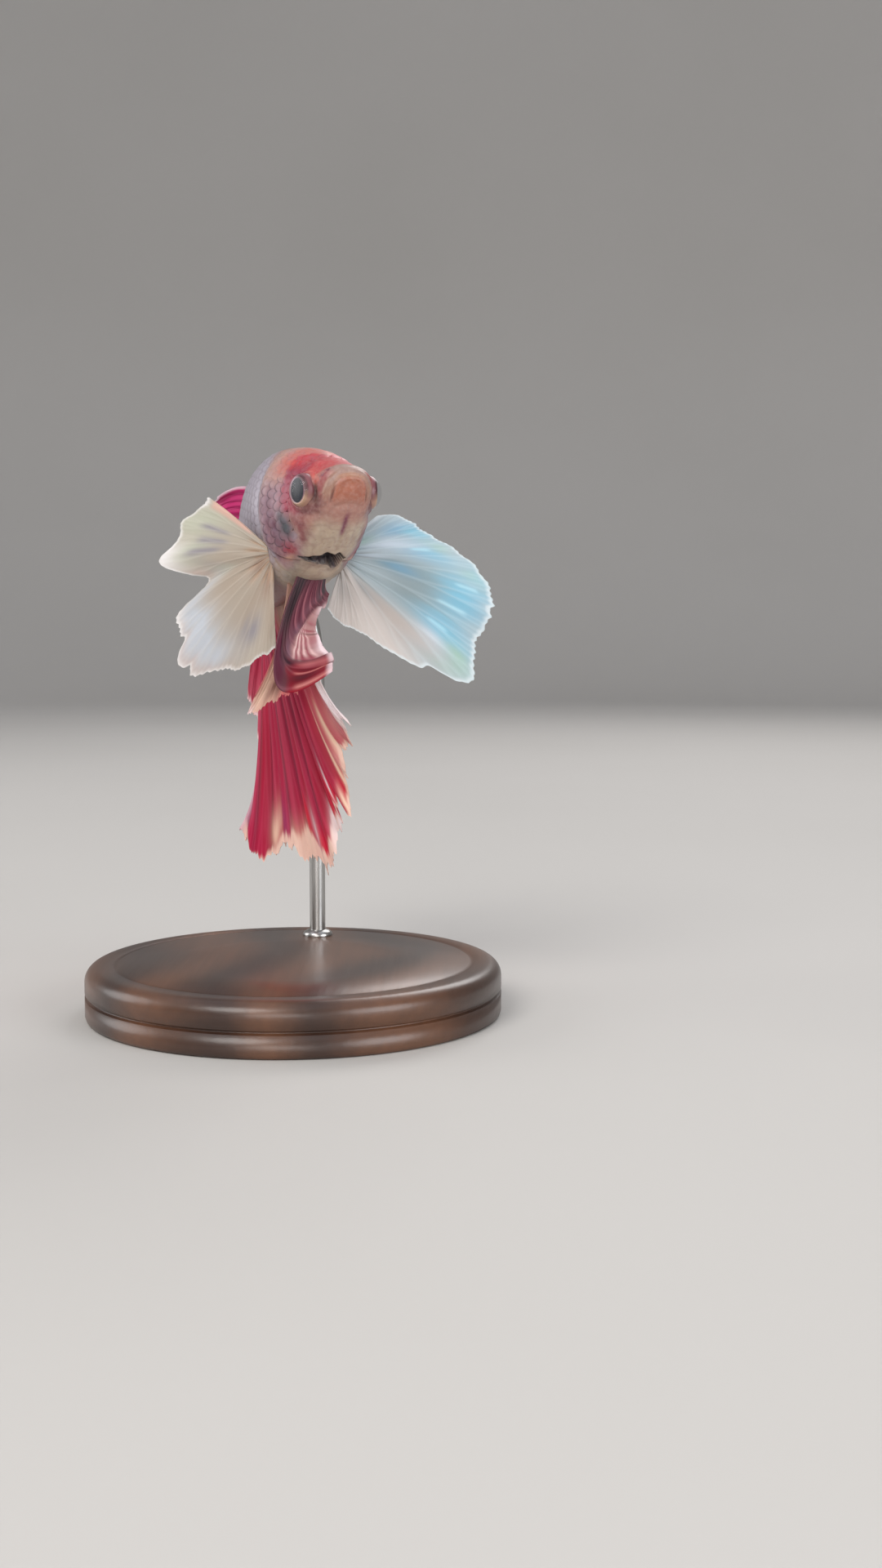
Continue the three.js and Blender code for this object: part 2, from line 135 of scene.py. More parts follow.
def noise(x, y, z=0.0, octaves=1):
    """Smooth noise from -1 to 1."""
    x, y, z = np.broadcast_arrays(np.asarray(x, float), np.asarray(y, float), np.asarray(z, float))
    total, weight = np.zeros(x.shape), 0.0
    for o in range(octaves):
        k = 2.0**o
        cells = [np.floor(v * k) for v in (x, y, z)]
        f = [v * k - c for v, c in zip((x, y, z), cells)]
        f = [v * v * (3 - 2 * v) for v in f]
        value = np.zeros(x.shape)
        for corner in range(8):
            bits = [(corner >> b) & 1 for b in range(3)]
            w = np.ones(x.shape)
            for v, b in zip(f, bits):
                w = w * (v if b else 1 - v)
            value += w * hashed(*[c + b + 1000 for c, b in zip(cells, bits)], np.full(x.shape, o))
        total += (2 * value - 1) / k
        weight += 1 / k
    return total / weight


# ---------- the fish's own coordinates, as in the solids (millimetres) ----------

BODY_LENGTH = 48
FIN_ROOT_DEPTH = 0.9
EYE_STATION = 4.75
EYE_RADIUS = 1.85
EYE_DOME = 1.5
EYE_FORWARD = 15
ROUNDNESS = 0.92

turn_at = profile([[0, 25], [14, 26], [22, 24], [30, 14], [38, 4], [48, -4]])
slope_at = profile([[0, 9.5], [12, 10], [20, 17], [30, 19], [48, 16]])
back_at = profile([
    [0, 0.9], [0.4, 1.6], [1.2, 2.05], [2.5, 2.6], [4, 3.3], [7, 4.9], [10, 6.15],
    [14, 7.4], [18, 8.3], [24, 8.3], [30, 6.6], [36, 4.9], [42, 3.5], [48, 3.0],
])
belly_at = profile([
    [0, -0.2], [0.4, -1.0], [1.2, -2.1], [2.5, -3.4], [4, -4.6], [7, -6.3], [10, -7.4],
    [14, -8.4], [18, -8.6], [24, -8.0], [30, -6.6], [36, -5.0], [42, -3.6], [48, -3.1],
])
half_width_at = profile([
    [0, 1.2], [0.4, 2.0], [1.2, 2.75], [2.5, 3.55], [4, 4.1], [7, 4.75], [10, 5.5],
    [12.5, 6.2], [14, 5.9], [16, 5.7], [20, 5.4], [28, 3.8], [36, 2.5], [42, 1.6], [48, 1.1],
])
level_at = profile([[0, 0.3], [4, -0.3], [8, -1.2], [14, -1.0], [24, -0.6], [36, -0.2], [48, 0]])


def box_mm(node):
    return [np.array(corner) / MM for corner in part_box(node)]


def middle(node):
    low, high = box_mm(node)
    return (low + high) / 2


def backward(station):
    turn, slope = np.radians(turn_at(station)), np.radians(slope_at(station))
    return np.stack([-np.sin(turn) * np.cos(slope), np.cos(turn) * np.cos(slope), -np.sin(slope)], -1)


SPINE_STEP = 0.25
EYE_MIDPOINT = (middle("eye_left") + middle("eye_right")) / 2
spine = backward(np.arange(0, BODY_LENGTH, SPINE_STEP) + SPINE_STEP / 2) * SPINE_STEP
spine = np.vstack([np.zeros(3), np.cumsum(spine, 0)])
spine += EYE_MIDPOINT - spine[int(EYE_STATION / SPINE_STEP)]


def body_frame(station):
    """The spine's point at a station, and its left and up directions."""
    station = np.asarray(station, float)
    inside = np.clip(station, 0, BODY_LENGTH)
    i = np.minimum((inside / SPINE_STEP).astype(int), len(spine) - 2)
    back = backward(inside)
    turn = np.radians(turn_at(inside))
    left = np.stack([np.cos(turn), np.sin(turn), np.zeros_like(turn)], -1)
    part = (inside / SPINE_STEP - i)[..., None]
    centre = mix(spine[i], spine[i + 1], part) + back * (station - inside)[..., None]
    return centre, left, unit(np.cross(left, back))


def in_body(station, side, height):
    centre, left, up = body_frame(station)
    return centre + left * np.asarray(side)[..., None] + up * np.asarray(height)[..., None]


def section(station, angle):
    """Side and height of the body's surface. The angle runs from the left side over the back."""
    level = level_at(station)
    s, c = np.sin(angle), np.cos(angle)
    rise = np.where(s > 0, back_at(station) - level, level - belly_at(station))
    return half_width_at(station) * np.sign(c) * np.abs(c) ** ROUNDNESS, level + rise * s


# ---------- building meshes and materials ----------


def build(name, points, quads, material, values=None, tris=None, patches=None):
    """A smooth mesh from millimetre points, with named values on its points."""
    quads = np.asarray(quads, np.int64).reshape(-1, 4)
    tris = np.zeros((0, 3), np.int64) if tris is None else np.asarray(tris, np.int64).reshape(-1, 3)
    mesh = bpy.data.meshes.new(name)
    loops = np.concatenate([quads.ravel(), tris.ravel()])
    starts = np.concatenate([np.arange(len(quads)) * 4, len(quads) * 4 + np.arange(len(tris)) * 3])
    mesh.vertices.add(len(points))
    mesh.vertices.foreach_set("co", (np.asarray(points, float) * MM).ravel())
    mesh.loops.add(len(loops))
    mesh.loops.foreach_set("vertex_index", loops.astype(np.int32))
    mesh.polygons.add(len(starts))
    mesh.polygons.foreach_set("loop_start", starts.astype(np.int32))
    mesh.polygons.foreach_set("use_smooth", np.ones(len(starts), bool))
    mesh.update(calc_edges=True)
    for key, value in (values or {}).items():
        layer = mesh.attributes.new(key, "FLOAT", "POINT")
        layer.data.foreach_set("value", np.broadcast_to(value, len(points)).astype(np.float32))
    if patches is not None:
        layer = mesh.uv_layers.new(name="OFBake")
        layer.data.foreach_set("uv", np.asarray(patches, np.float32)[loops].ravel())
    mesh.materials.append(material)
    mesh.validate()
    piece = bpy.data.objects.new(name, mesh)
    SCENE.collection.objects.link(piece)
    return piece


def grid_quads(rows, columns, closed=False):
    """Quads of a grid stored row by row. A closed grid joins its last column to its first."""
    r, c = np.meshgrid(np.arange(rows - 1), np.arange(columns if closed else columns - 1), indexing="ij")
    n = (c + 1) % columns
    quad = np.stack([r * columns + c, r * columns + n, (r + 1) * columns + n, (r + 1) * columns + c], -1)
    return quad.reshape(-1, 4)


def rings(name, points, tips, material, values=None, flip=False):
    """A closed mesh from rings of points, with a tip at each end fanned to the ring beside it."""
    count, around = points.shape[:2]
    this, total = np.arange(around), count * around
    after = (this + 1) % around
    tris = np.vstack([
        np.stack([np.full(around, total), after, this], -1),
        np.stack([np.full(around, total + 1), total - around + this, total - around + after], -1),
    ])
    quads = grid_quads(count, around, closed=True)
    if flip:
        quads, tris = quads[:, ::-1], tris[:, ::-1]
    values = {key: np.append(v.ravel(), [v[0].mean(), v[-1].mean()]) for key, v in (values or {}).items()}
    return build(name, np.vstack([points.reshape(-1, 3), tips]), quads, material, values, tris)


def turned(outline, around, centre=(0, 0)):
    """Rings of points: an outline of (radius, height) pairs turned about an upright line."""
    r, z = np.array(outline, float).T[..., None]
    x, y = centre[0] + r * np.cos(turn_of(around)), centre[1] + r * np.sin(turn_of(around))
    return np.stack([x, y, z + 0 * x], -1)


def dress(piece, slot, *nodes):
    """Puts a piece under the root, in place of the CAD nodes that it stands for. The slot is not used."""
    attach(piece, "root")
    if nodes:
        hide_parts(*nodes)


def linear(text):
    """A linear colour from its usual #rrggbb form."""
    c = np.array([int(text[i : i + 2], 16) / 255 for i in (1, 3, 5)])
    return tuple(np.where(c <= 0.04045, c / 12.92, ((c + 0.055) / 1.055) ** 2.4)) + (1.0,)


class Shader:
    """A node material around one Principled shader. A colour is a socket or #rrggbb."""

    def __init__(self, name, **inputs):
        self.material = bpy.data.materials.new(name)
        self.material.use_nodes = True
        self.tree = self.material.node_tree
        self.main = self.tree.nodes["Principled BSDF"]
        self.set(self.main, inputs)
        self.bumps = None

    def put(self, socket, value):
        if isinstance(value, bpy.types.NodeSocket):
            self.tree.links.new(value, socket)
        else:
            socket.default_value = linear(value) if isinstance(value, str) else value

    def set(self, node, inputs):
        for key, value in inputs.items():
            self.put(node.inputs[key.replace("_", " ") if isinstance(key, str) else key], value)

    def node(self, kind, inputs=None, **settings):
        node = self.tree.nodes.new("ShaderNode" + kind)
        for key, value in settings.items():
            setattr(node, key, value)
        self.set(node, inputs or {})
        return node

    def value(self, name):
        return self.node("Attribute", attribute_name=name).outputs["Fac"]

    def math(self, operation, a, b=0.0):
        return self.node("Math", {0: a, 1: b}, operation=operation).outputs[0]

    def blend(self, under, over, share):
        node = self.node("Mix", data_type="RGBA")
        colours = [s for s in node.inputs if s.type == "RGBA"]
        for socket, value in zip([node.inputs[0], *colours], (share, under, over)):
            self.put(socket, value)
        return [s for s in node.outputs if s.type == "RGBA"][0]

    def part_blend(self, under, over, share, amount):
        return self.blend(under, over, self.math("MULTIPLY", share, amount))

    def noise(self, per_metre, detail=3.0, stretch=(1, 1, 1)):
        where = self.node("TexCoord").outputs["Object"]
        place = self.node("Mapping", {"Vector": where, "Scale": stretch}).outputs[0]
        return self.node("TexNoise", {"Vector": place, "Scale": per_metre, "Detail": detail}).outputs["Fac"]

    def layers(self, base, layers):
        """The base colour with each named value's colour laid over it in turn."""
        colour = base
        for name, over in layers.items():
            colour = self.blend(colour, over, self.value(name))
        return colour

    def vary(self, colour, over, per_metre, amount):
        """Mixes in another colour where a noise is high."""
        ramp = self.node("MapRange", {"Value": self.noise(per_metre), "From Min": 0.42, "From Max": 0.72})
        return self.part_blend(colour, over, ramp.outputs[0], amount)

    def done(self, colour, *bumps):
        """The material in its colour, with bumps as (height, depth in millimetres)."""
        self.set(self.main, {"Base Color": colour})
        for height, depth in bumps:
            inputs = {"Height": height, "Distance": depth * MM}
            if self.bumps:
                inputs["Normal"] = self.bumps
            self.bumps = self.node("Bump", inputs).outputs[0]
            self.set(self.main, {"Normal": self.bumps})
        return self.material

    def let_light_through(self, colour, share):
        """Mixes in a translucent shader, as of a thin membrane."""
        through = self.node("BsdfTranslucent", {"Color": colour, "Normal": self.bumps})
        both = self.node("MixShader", {0: share, 1: self.main.outputs[0], 2: through.outputs[0]})
        self.set(self.tree.nodes["Material Output"], {"Surface": both.outputs[0]})


# ---------- features of the head and body ----------

COAT_DEPTH = 0.17
SNOUT_TIP = 0.15
SNOUT_END = (2.4, 3.6)
MOUTH_HALF_WIDTH = 1.95
MOUTH_TOP = 0.62
MOUTH_CORNER = -1.05
LID_SHIFT = 0.34
NOSTRILS = ((1.45, 2.1, 1.5, 0.14), (1.7, 2.62, 1.0, 0.16))

# The throat's opening, as stations by the distance to the fish's left of its middle.
gap_front_at = profile([
    [-3, 9.3], [-2.2, 8.5], [-1, 7.5], [-0.6, 7.0], [0.4, 7.3], [0.9, 7.1], [2.2, 8.6],
])
gap_rear_at = profile([
    [-3, 9.3], [-2.3, 9.2], [-0.6, 9.1], [0.3, 9.2], [1.2, 10.1], [1.7, 10.0], [2.2, 8.6],
])

# The red band over the forehead, as stations by the degrees down from the crown.
band_front_at = profile([[0, 2.0], [28, 1.75], [45, 2.1], [58, 2.9], [66, 4.4], [74, 6.4]])
band_rear_at = profile([[0, 6.0], [14, 7.4], [33, 8.8], [50, 8.6], [66, 8.2], [74, 7.6]])


def mouth_distance(side, height):
    """Distance from the mouth's arched line, seen from the front. It is negative on the lower jaw."""
    x = np.abs(side) / MOUTH_HALF_WIDTH
    y = height - MOUTH_CORNER
    tall = MOUTH_TOP - MOUTH_CORNER
    arch = (x**2.2 + (np.maximum(y, 0) / tall) ** 2) ** 0.48 - 1
    return np.where(y > 0, arch * tall, MOUTH_HALF_WIDTH * (x - 1 + 0.04 * y))


def underside(angle):
    return np.clip(-np.sin(angle), 0, 1)


def fall_of(angle):
    """Degrees down from the crown, on either side: 90 is the flank and 180 the belly."""
    return np.degrees(np.arccos(np.clip(np.sin(angle), -1, 1)))


def gill_cut_at(angle):
    return 12.9 + 0.6 * (1 - np.abs(np.sin(angle))) - 4.6 * underside(angle) ** 3


def behind_gill(s, angle):
    """The hollow behind the gill cover's edge."""
    cut = gill_cut_at(angle)
    return window(cut, cut + 0.3, cut + 0.6, cut + 3.0, s)


def eye_axis(side):
    turn = np.radians(turn_at(EYE_STATION) - side * (90 + EYE_FORWARD))
    return np.array([-np.sin(turn), np.cos(turn), 0.0])


EYES = {side: (middle("eye_left" if side > 0 else "eye_right"), eye_axis(side)) for side in (1, -1)}


def eye_place(points, side):
    """How far points lie ahead of the nearer eye's axis, and above it."""
    ahead, above = np.full(side.shape, 99.0), np.zeros(side.shape)
    for sign, (centre, axis) in EYES.items():
        offset = points - centre
        near = side * sign > 0
        ahead = np.where(near, offset @ (-np.cross(UP, axis) * sign), ahead)
        above = np.where(near, offset[..., 2], above)
    return ahead, above


def throat_gap(s, side, angle, grow=0.0):
    """1 inside the throat's opening, grown by a margin that takes in its walls."""
    wave = 0.08 * noise(side * 2.3, 4.1, s * 0.6)
    soft = 0.1
    opened = smooth(-soft, soft, s - gap_front_at(side) - wave + grow)
    closed = smooth(-soft, soft, s - gap_rear_at(side) - wave - grow)
    wide = smooth(-3.1 - grow, -2.9 - grow, side) * smooth(2.3, 2.05, side - grow)
    return opened * (1 - closed) * wide * (underside(angle) > 0.5)


def nostril_gap(s, side, height, at, tall=1.0):
    """Distance from a nostril at (station, side, height), on either side of the snout."""
    return ((s - at[0]) ** 2 + (np.abs(side) - at[1]) ** 2 + ((height - at[2]) / tall) ** 2) ** 0.5


def oval(x, y, at_x, at_y, half_x, half_y):
    return bell(np.hypot((x - at_x) / half_x, (y - at_y) / half_y), 1.0)


def patches(x, y, *ovals):
    """Soft oval patches, each (middle x, middle y, half width, half height, strength)."""
    return sum(strength * oval(x, y, *place) for *place, strength in ovals)


def scaled(s, angle, eye):
    """Where scales cover the skin: 1 on the flanks, back and cheeks, 0 on snout, throat and eyes."""
    over = smooth(5.6, 7.4, s + 1.2 * np.sin(angle))
    throat = smooth(0.5, 0.8, underside(angle)) * smooth(13.8, 12.4, s)
    return over * (1 - throat) * smooth(2.6, 3.3, eye)


def relief(points, s, angle, side, height):
    """How far the skin stands out from the solids' surface, at most nothing."""
    ahead, above = eye_place(points, side)
    eye = np.hypot(ahead, above)
    lid = np.hypot(ahead + LID_SHIFT * smooth(-0.6, 1.0, ahead), above)
    cover = scaled(s, angle, eye)
    out = -COAT_DEPTH * (0.35 + 0.65 * cover)

    # The mouth's slit, the lips on either side of it and the folds around them.
    front = 1 - smooth(*SNOUT_END, s)
    away = mouth_distance(side, height)
    corner = 0.06 + 0.26 * smooth(-0.3, -1.3, height)
    lips = 0.1 * bell(away - 0.5, 0.35) - corner * bell(away, 0.12)
    lips -= 0.13 * bell(away - 0.95, 0.2) * smooth(1.8, 0.9, height)
    lips += 0.06 * bell(away - 1.35, 0.2) + 0.08 * bell(away + 0.3, 0.2)
    out += front * lips * smooth(1.4, 0.3, MOUTH_CORNER - height)
    out -= front * 0.06 * bell(away + 0.9, 0.35) * smooth(-2.4, -1.2, height)
    out -= front * 0.1 * bell(height + 2.25 + 0.12 * side**2, 0.3) * smooth(1.9, 1.3, np.abs(side))
    for *at, size in NOSTRILS:
        gap = nostril_gap(s, side, height, at, 1.5)
        out += 0.06 * bell(gap - 2.1 * size, size) - 0.36 * bell(gap, size)

    # The eye's socket, its lid, the hollow ahead of it and the crease below it.
    out -= 0.12 * smooth(3.6, 2.6, eye)
    out += (0.14 - 0.08 * smooth(-0.5, 1.2, ahead)) * bell(lid - 1.92, 0.2) - 0.1 * bell(lid - 2.5, 0.22)
    out -= 1.5 * smooth(1.74, 1.58, lid) * (eye < 2.3)
    out -= 0.42 * oval(ahead, above, 2.15, -0.45, 0.5, 1.35)
    out -= 0.12 * oval(ahead, above, 1.5, -2.7, 1.2, 0.35)

    # The cheek's crease, the gill cover's edge and the gap under the throat.
    flank = smooth(0.45, 0.95, np.abs(np.cos(angle)))
    out -= 0.13 * flank * bell(s - 8.0 - 0.12 * height, 0.3) * smooth(2.0, 1.0, height)
    low = underside(angle)
    upper = smooth(0.95, 0.75, np.sin(angle)) * smooth(0.94, 0.86, low)
    out -= upper * (0.4 * bell(s - gill_cut_at(angle) - 0.25, 0.2) + 0.28 * behind_gill(s, angle))
    out -= 1.5 * throat_gap(s, side, angle)
    out -= 0.16 * smooth(0.75, 0.9, low) * bell(s - gap_rear_at(side) - 0.9, 0.7)

    # Fine folds under the jaw and a slight unevenness of the bare skin.
    out -= 0.06 * smooth(0.8, 0.97, low) * window(2.4, 3.4, 6.0, 7.0, s) * bell(side - 0.1, 0.3)
    rays = np.sin(TAU * (np.abs(side) - 0.15 * (s - 4)) / 0.95)
    out += 0.03 * rays * smooth(0.6, 0.85, low) * window(3.6, 5, 6.3, 7.0, s)
    out += 0.05 * noise(s * 0.8, angle * 2.2, 1.7, 3) * (1 - cover)
    return np.minimum(out, 0.0)


def markings(points, s, angle, side, height):
    """Shares of each colour on the fish, for skin and scales alike. The near black in the throat's opening
    and gill slit, and the dark at the eye's socket and in the recess ahead of the eye, are painted shade.
    """
    ahead, above = eye_place(points, side)
    eye = np.hypot(ahead, above)
    wave = noise(s * 0.5, height * 0.5, side * 0.5, 3)
    fine = noise(s * 1.9, height * 1.9, side * 1.9, 2)
    grain = noise(s * 4.3, height * 4.3, side * 4.3, 2)
    blotch = noise(s * 1.9, height * 0.8, side * 1.3 + 9, 3)
    low = underside(angle)
    true_fall = fall_of(angle)
    ws = s + 0.35 * wave + 0.22 * fine
    fall = true_fall + 4 * wave - 4 * fine
    away = mouth_distance(side, height) + 0.04 * fine
    front = 1 - smooth(*SNOUT_END, s)
    # A painted shade line in the groove at the gill cover's edge.
    slit_shade = bell(s - gill_cut_at(angle) - 0.25, 0.13)
    slit_shade = slit_shade * smooth(0.8, 0.5, np.sin(angle)) * smooth(0.9, 0.8, low)
    band = smooth(-0.35, 0.35, ws - band_front_at(true_fall))
    band = band * smooth(0.5, -0.5, ws - band_rear_at(true_fall))
    head = smooth(13.2, 11.8, ws)
    behind_eye = smooth(0.6, -1.2, ahead + 0.2 * fine)
    wavy = partial(patches, ws, fall)
    marks = dict(
        lilac=smooth(0, 4, ws - 14.5 + 0.07 * true_fall) * (1 - 0.8 * smooth(0.6, 0.9, low)),
        wrist=smooth(95, 113, fall) * smooth(12.6, 13.2, s) * smooth(18.5, 15.5, ws)
            * (0.75 + 0.4 * blotch),
        peach=window(6.0, 7.4, 10.5, 15, ws) * smooth(75, 50, fall),
        coral=window(5.5, 7.2, 9.6, 12.4, ws) * smooth(66, 44, fall),
        tan=smooth(126, 152, fall) * smooth(3.2, 5.5, s - 0.3 * height) * smooth(18, 15, s),
        olive=patches(s, fall, (11.6, 152, 1.6, 12, 0.75), (12.8, 175, 0.5, 16, 0.6),
            (13.9, 160, 0.6, 14, 0.5)),
        plum=0.7 * smooth(30, 44, s + wave),
        dusk=wavy((6.0, 106, 1.1, 10, 0.9), (4.4, 116, 1.3, 8, 0.9), (2.0, 112, 0.8, 20, 0.6),
            (3.0, 126, 0.9, 9, 0.7)),
        flush=wavy((1.3, 52, 0.7, 16, 0.9), (1.5, 78, 0.7, 16, 1), (1.9, 100, 0.7, 16, 0.9)),
        cheek=smooth(7.2, 8.8, ws) * head * window(56, 74, 140, 156, fall),
        red=band * smooth(74, 52, true_fall + 5 * fine)
            * (0.82 + 0.18 * noise(s * 2.6, true_fall * 0.12, 4.4, 2)),
        rose=0.95 * bell(eye - 2.7, 1.1) * behind_eye * smooth(-3.4, -1.6, above + 0.3 * fine)
            + wavy((8.0, 72, 0.9, 16, 0.9), (7.9, 52, 0.8, 10, 0.7), (7.6, 92, 0.8, 12, 0.5)),
        blush=wavy((3.1, 62, 0.7, 9, 1), (2.6, 76, 0.45, 8, 0.95), (4.0, 47, 0.6, 6, 0.5),
            (8.4, 40, 0.6, 5, 0.6)),
        # Painted shade: socket darkens the skin at the rim of the eye's socket, hollow the recess ahead of
        # the eye.
        socket=0.8 * bell(eye - 1.75, 0.28) * smooth(-0.4, 0.8, ahead),
        hollow=0.95 * oval(ahead, above, 2.0, -0.4, 0.55, 1.4),
        mauve=smooth(8.8, 10.2, ws) * head * bell(fall - 104, 36) * (0.6 + 0.8 * blotch),
        slate=wavy((8.5, 109, 1.0, 9, 1), (8.8, 97, 0.6, 7, 0.8), (8.3, 119, 0.7, 6, 0.8)),
        rust=wavy((6.1, 125, 0.9, 10, 0.95), (7.0, 136, 0.7, 7, 0.8), (6.8, 115, 0.6, 7, 0.6)),
        crimson=wavy((9.6, 130, 1.0, 6.5, 1), (8.9, 137, 0.8, 5, 0.6)),
        amber=wavy((10.4, 141, 1.1, 4.5, 0.8)),
        lip=front * window(-0.05, 0.2, 0.75, 1.1, away) * smooth(-2.2, -0.8, height),
        pearl=(front * bell(away - 0.5, 0.24) + bell(s - 0.7, 0.6) * smooth(62, 38, true_fall))
        * smooth(-1.4, 0.4, height) * (1 - band),
        jaw=front * smooth(0.12, -0.4, away) * smooth(-2.6, -1.2, height + 0.15 * fine),
        jaw_top=front * smooth(0.55, 0.0, away) * smooth(0.0, 0.7, height + 0.1 * fine) * 0.9,
        nostril=sum(0.95 * bell(nostril_gap(s, side, height, at), 0.26) for at in NOSTRILS),
        streak=0.95 * bell(side - 0.1 + 0.06 * fine, 0.3) * smooth(0.6, 0.85, low)
        * window(1.7, 2.6, 3.9, 4.9, s),
        vein=(s < 12.6) * bell(noise(s * 0.7, height * 0.9, side * 0.8 + 21, 2), 0.12)
            * smooth(60, 90, fall) * (1 - front) * 0.22,
        speck=(s < 13) * smooth(0.45, 0.75, grain) * (1 - band) * 0.5,
        # Painted shade: near black in the throat's opening and along the gill slit, where the skin dips in.
        gap_shade=throat_gap(s, side, angle, 0.14) + 0.7 * slit_shade,
    )
    return {key: np.clip(v, 0, 1) for key, v in marks.items()}


# Colours of the skin's marks; those of the eye's socket, the hollow ahead of the eye and the throat's gap
# are painted shade.
SKIN_LAYERS = dict(
    lilac="#8f8891", wrist="#84685c", peach="#b59489", coral="#bd6a60", tan="#b3a08d", olive="#7d7468",
    plum="#9a6f8c", dusk="#6f4244", flush="#8c4a4c", cheek="#8f6f77", red="#b52533",
    rose="#8a2f42", blush="#cc6258", socket="#5f2a30", hollow="#35090d", mauve="#52293f",
    slate="#3f4449", rust="#7d4245", crimson="#8f2f3c", amber="#c08e76",
    lip="#96705f", pearl="#957a71", jaw="#9c5f4b", jaw_top="#a0745c",
    nostril="#6e3b52", streak="#6e3048", vein="#6b3f45", speck="#7b5c5e", gap_shade="#1d1a20",
)
SKIN_BASE = "#9f7468"
SKIN_COLUMNS = 288


def skin_shader():
    shader = Shader(
        "skin", Roughness=0.42, Specular_IOR_Level=0.3, Coat_Weight=0.06, Coat_Roughness=0.25,
        Subsurface_Weight=0.15, Subsurface_Scale=0.0006, Subsurface_Radius=(1.0, 0.45, 0.3),
    )
    colour = shader.layers(SKIN_BASE, SKIN_LAYERS)
    colour = shader.vary(colour, "#7d5f62", 900, 0.16)
    colour = shader.vary(colour, "#d8c6bc", 2400, 0.12)
    return shader.done(colour, (shader.noise(3500, 4.0), 0.02), (shader.noise(900, 2.0), 0.05))


def make_skin():
    angle = turn_of(SKIN_COLUMNS) - np.pi / 2
    s, a = np.meshgrid(np.concatenate([
        np.linspace(0, 1, 26)[:-1] ** 1.2 * 1.5,
        np.linspace(1.5, 14.6, 150)[:-1],
        np.linspace(14.6, BODY_LENGTH, 110),
    ]), angle, indexing="ij")
    side, height = section(s, a)

    # The rings shrink to the snout's tip at one end and to the tail stem's middle at the other.
    snout, tail = np.linspace(0.05, 1, 22)[:-1, None], np.linspace(1, 0.06, 9)[1:, None]
    start = (back_at(0.0) + belly_at(0.0)) / 2
    s = np.vstack([-SNOUT_TIP * (1 - snout**2) + 0 * angle, s, BODY_LENGTH + 0 * tail * angle])
    a = np.broadcast_to(angle, s.shape)
    side = np.vstack([snout * side[0], side, tail * side[-1]])
    height = np.vstack([start + snout * (height[0] - start), height, tail * height[-1]])

    points = in_body(s, side, height)
    around = np.roll(points, -1, 1) - np.roll(points, 1, 1)
    normal = unit(np.cross(around, np.gradient(points, axis=0)))
    outward = np.sign(((points - in_body(s + 0.5, 0 * s, level_at(s))) * normal).sum(-1).mean())
    marks = markings(points, s, a, side, height)
    points = points + normal * outward * relief(points, s, a, side, height)[..., None]
    tips = [points[0].mean(0), points[-1].mean(0)]
    return rings("skin", points, tips, skin_shader(), marks, flip=outward < 0)


# ---------- scales ----------

SCALE_PITCH = 1.12
SCALE_ROW = 1.08
SCALE_SIZE = 0.95
SCALE_THICKNESS = 0.05
SCALE_SPOKES = 14
SCALE_RINGS = (0.4, 0.74, 0.92, 1.0)
PATCH_HALF = 0.0015


def scale_places():
    """Station, angle and size of every scale, in rows beside the lateral line on both flanks."""
    places = []
    quarter_turns = np.linspace(-np.pi / 2, np.pi / 2, 721)
    for i, station in enumerate(np.arange(5.4, 46.6, SCALE_PITCH)):
        for flank in (1, -1):
            angle = quarter_turns if flank > 0 else np.pi - quarter_turns
            side, height = section(np.full(angle.shape, station), angle)
            arc = np.concatenate([[0], np.cumsum(np.hypot(np.diff(side), np.diff(height)))])
            arc -= arc[len(arc) // 2]
            shift = 0.5 * (i % 2)
            low, high = arc[0] / SCALE_ROW, arc[-1] / SCALE_ROW
            for k in np.arange(np.ceil(low - shift), np.floor(high - shift) + 1):
                where = (k + shift) * SCALE_ROW
                places.append((station, float(np.interp(where, arc, angle)), i, k, flank))
    return np.array(places)


def scale_shader():
    shader = Shader(
        "scales", Roughness=0.4, Metallic=0.08, Coat_Weight=0.1, Coat_Roughness=0.22,
        Specular_IOR_Level=0.35,
    )
    colour = shader.layers(SKIN_BASE, SKIN_LAYERS)
    colour = shader.part_blend(colour, "#b9b3c0", shader.value("gleam"), 0.4)
    colour = shader.part_blend(colour, "#40202f", shader.value("rim"), 0.85)
    colour = shader.vary(colour, "#8b8296", 1500, 0.2)
    return shader.done(colour, (shader.noise(4000, 2.0), 0.01))


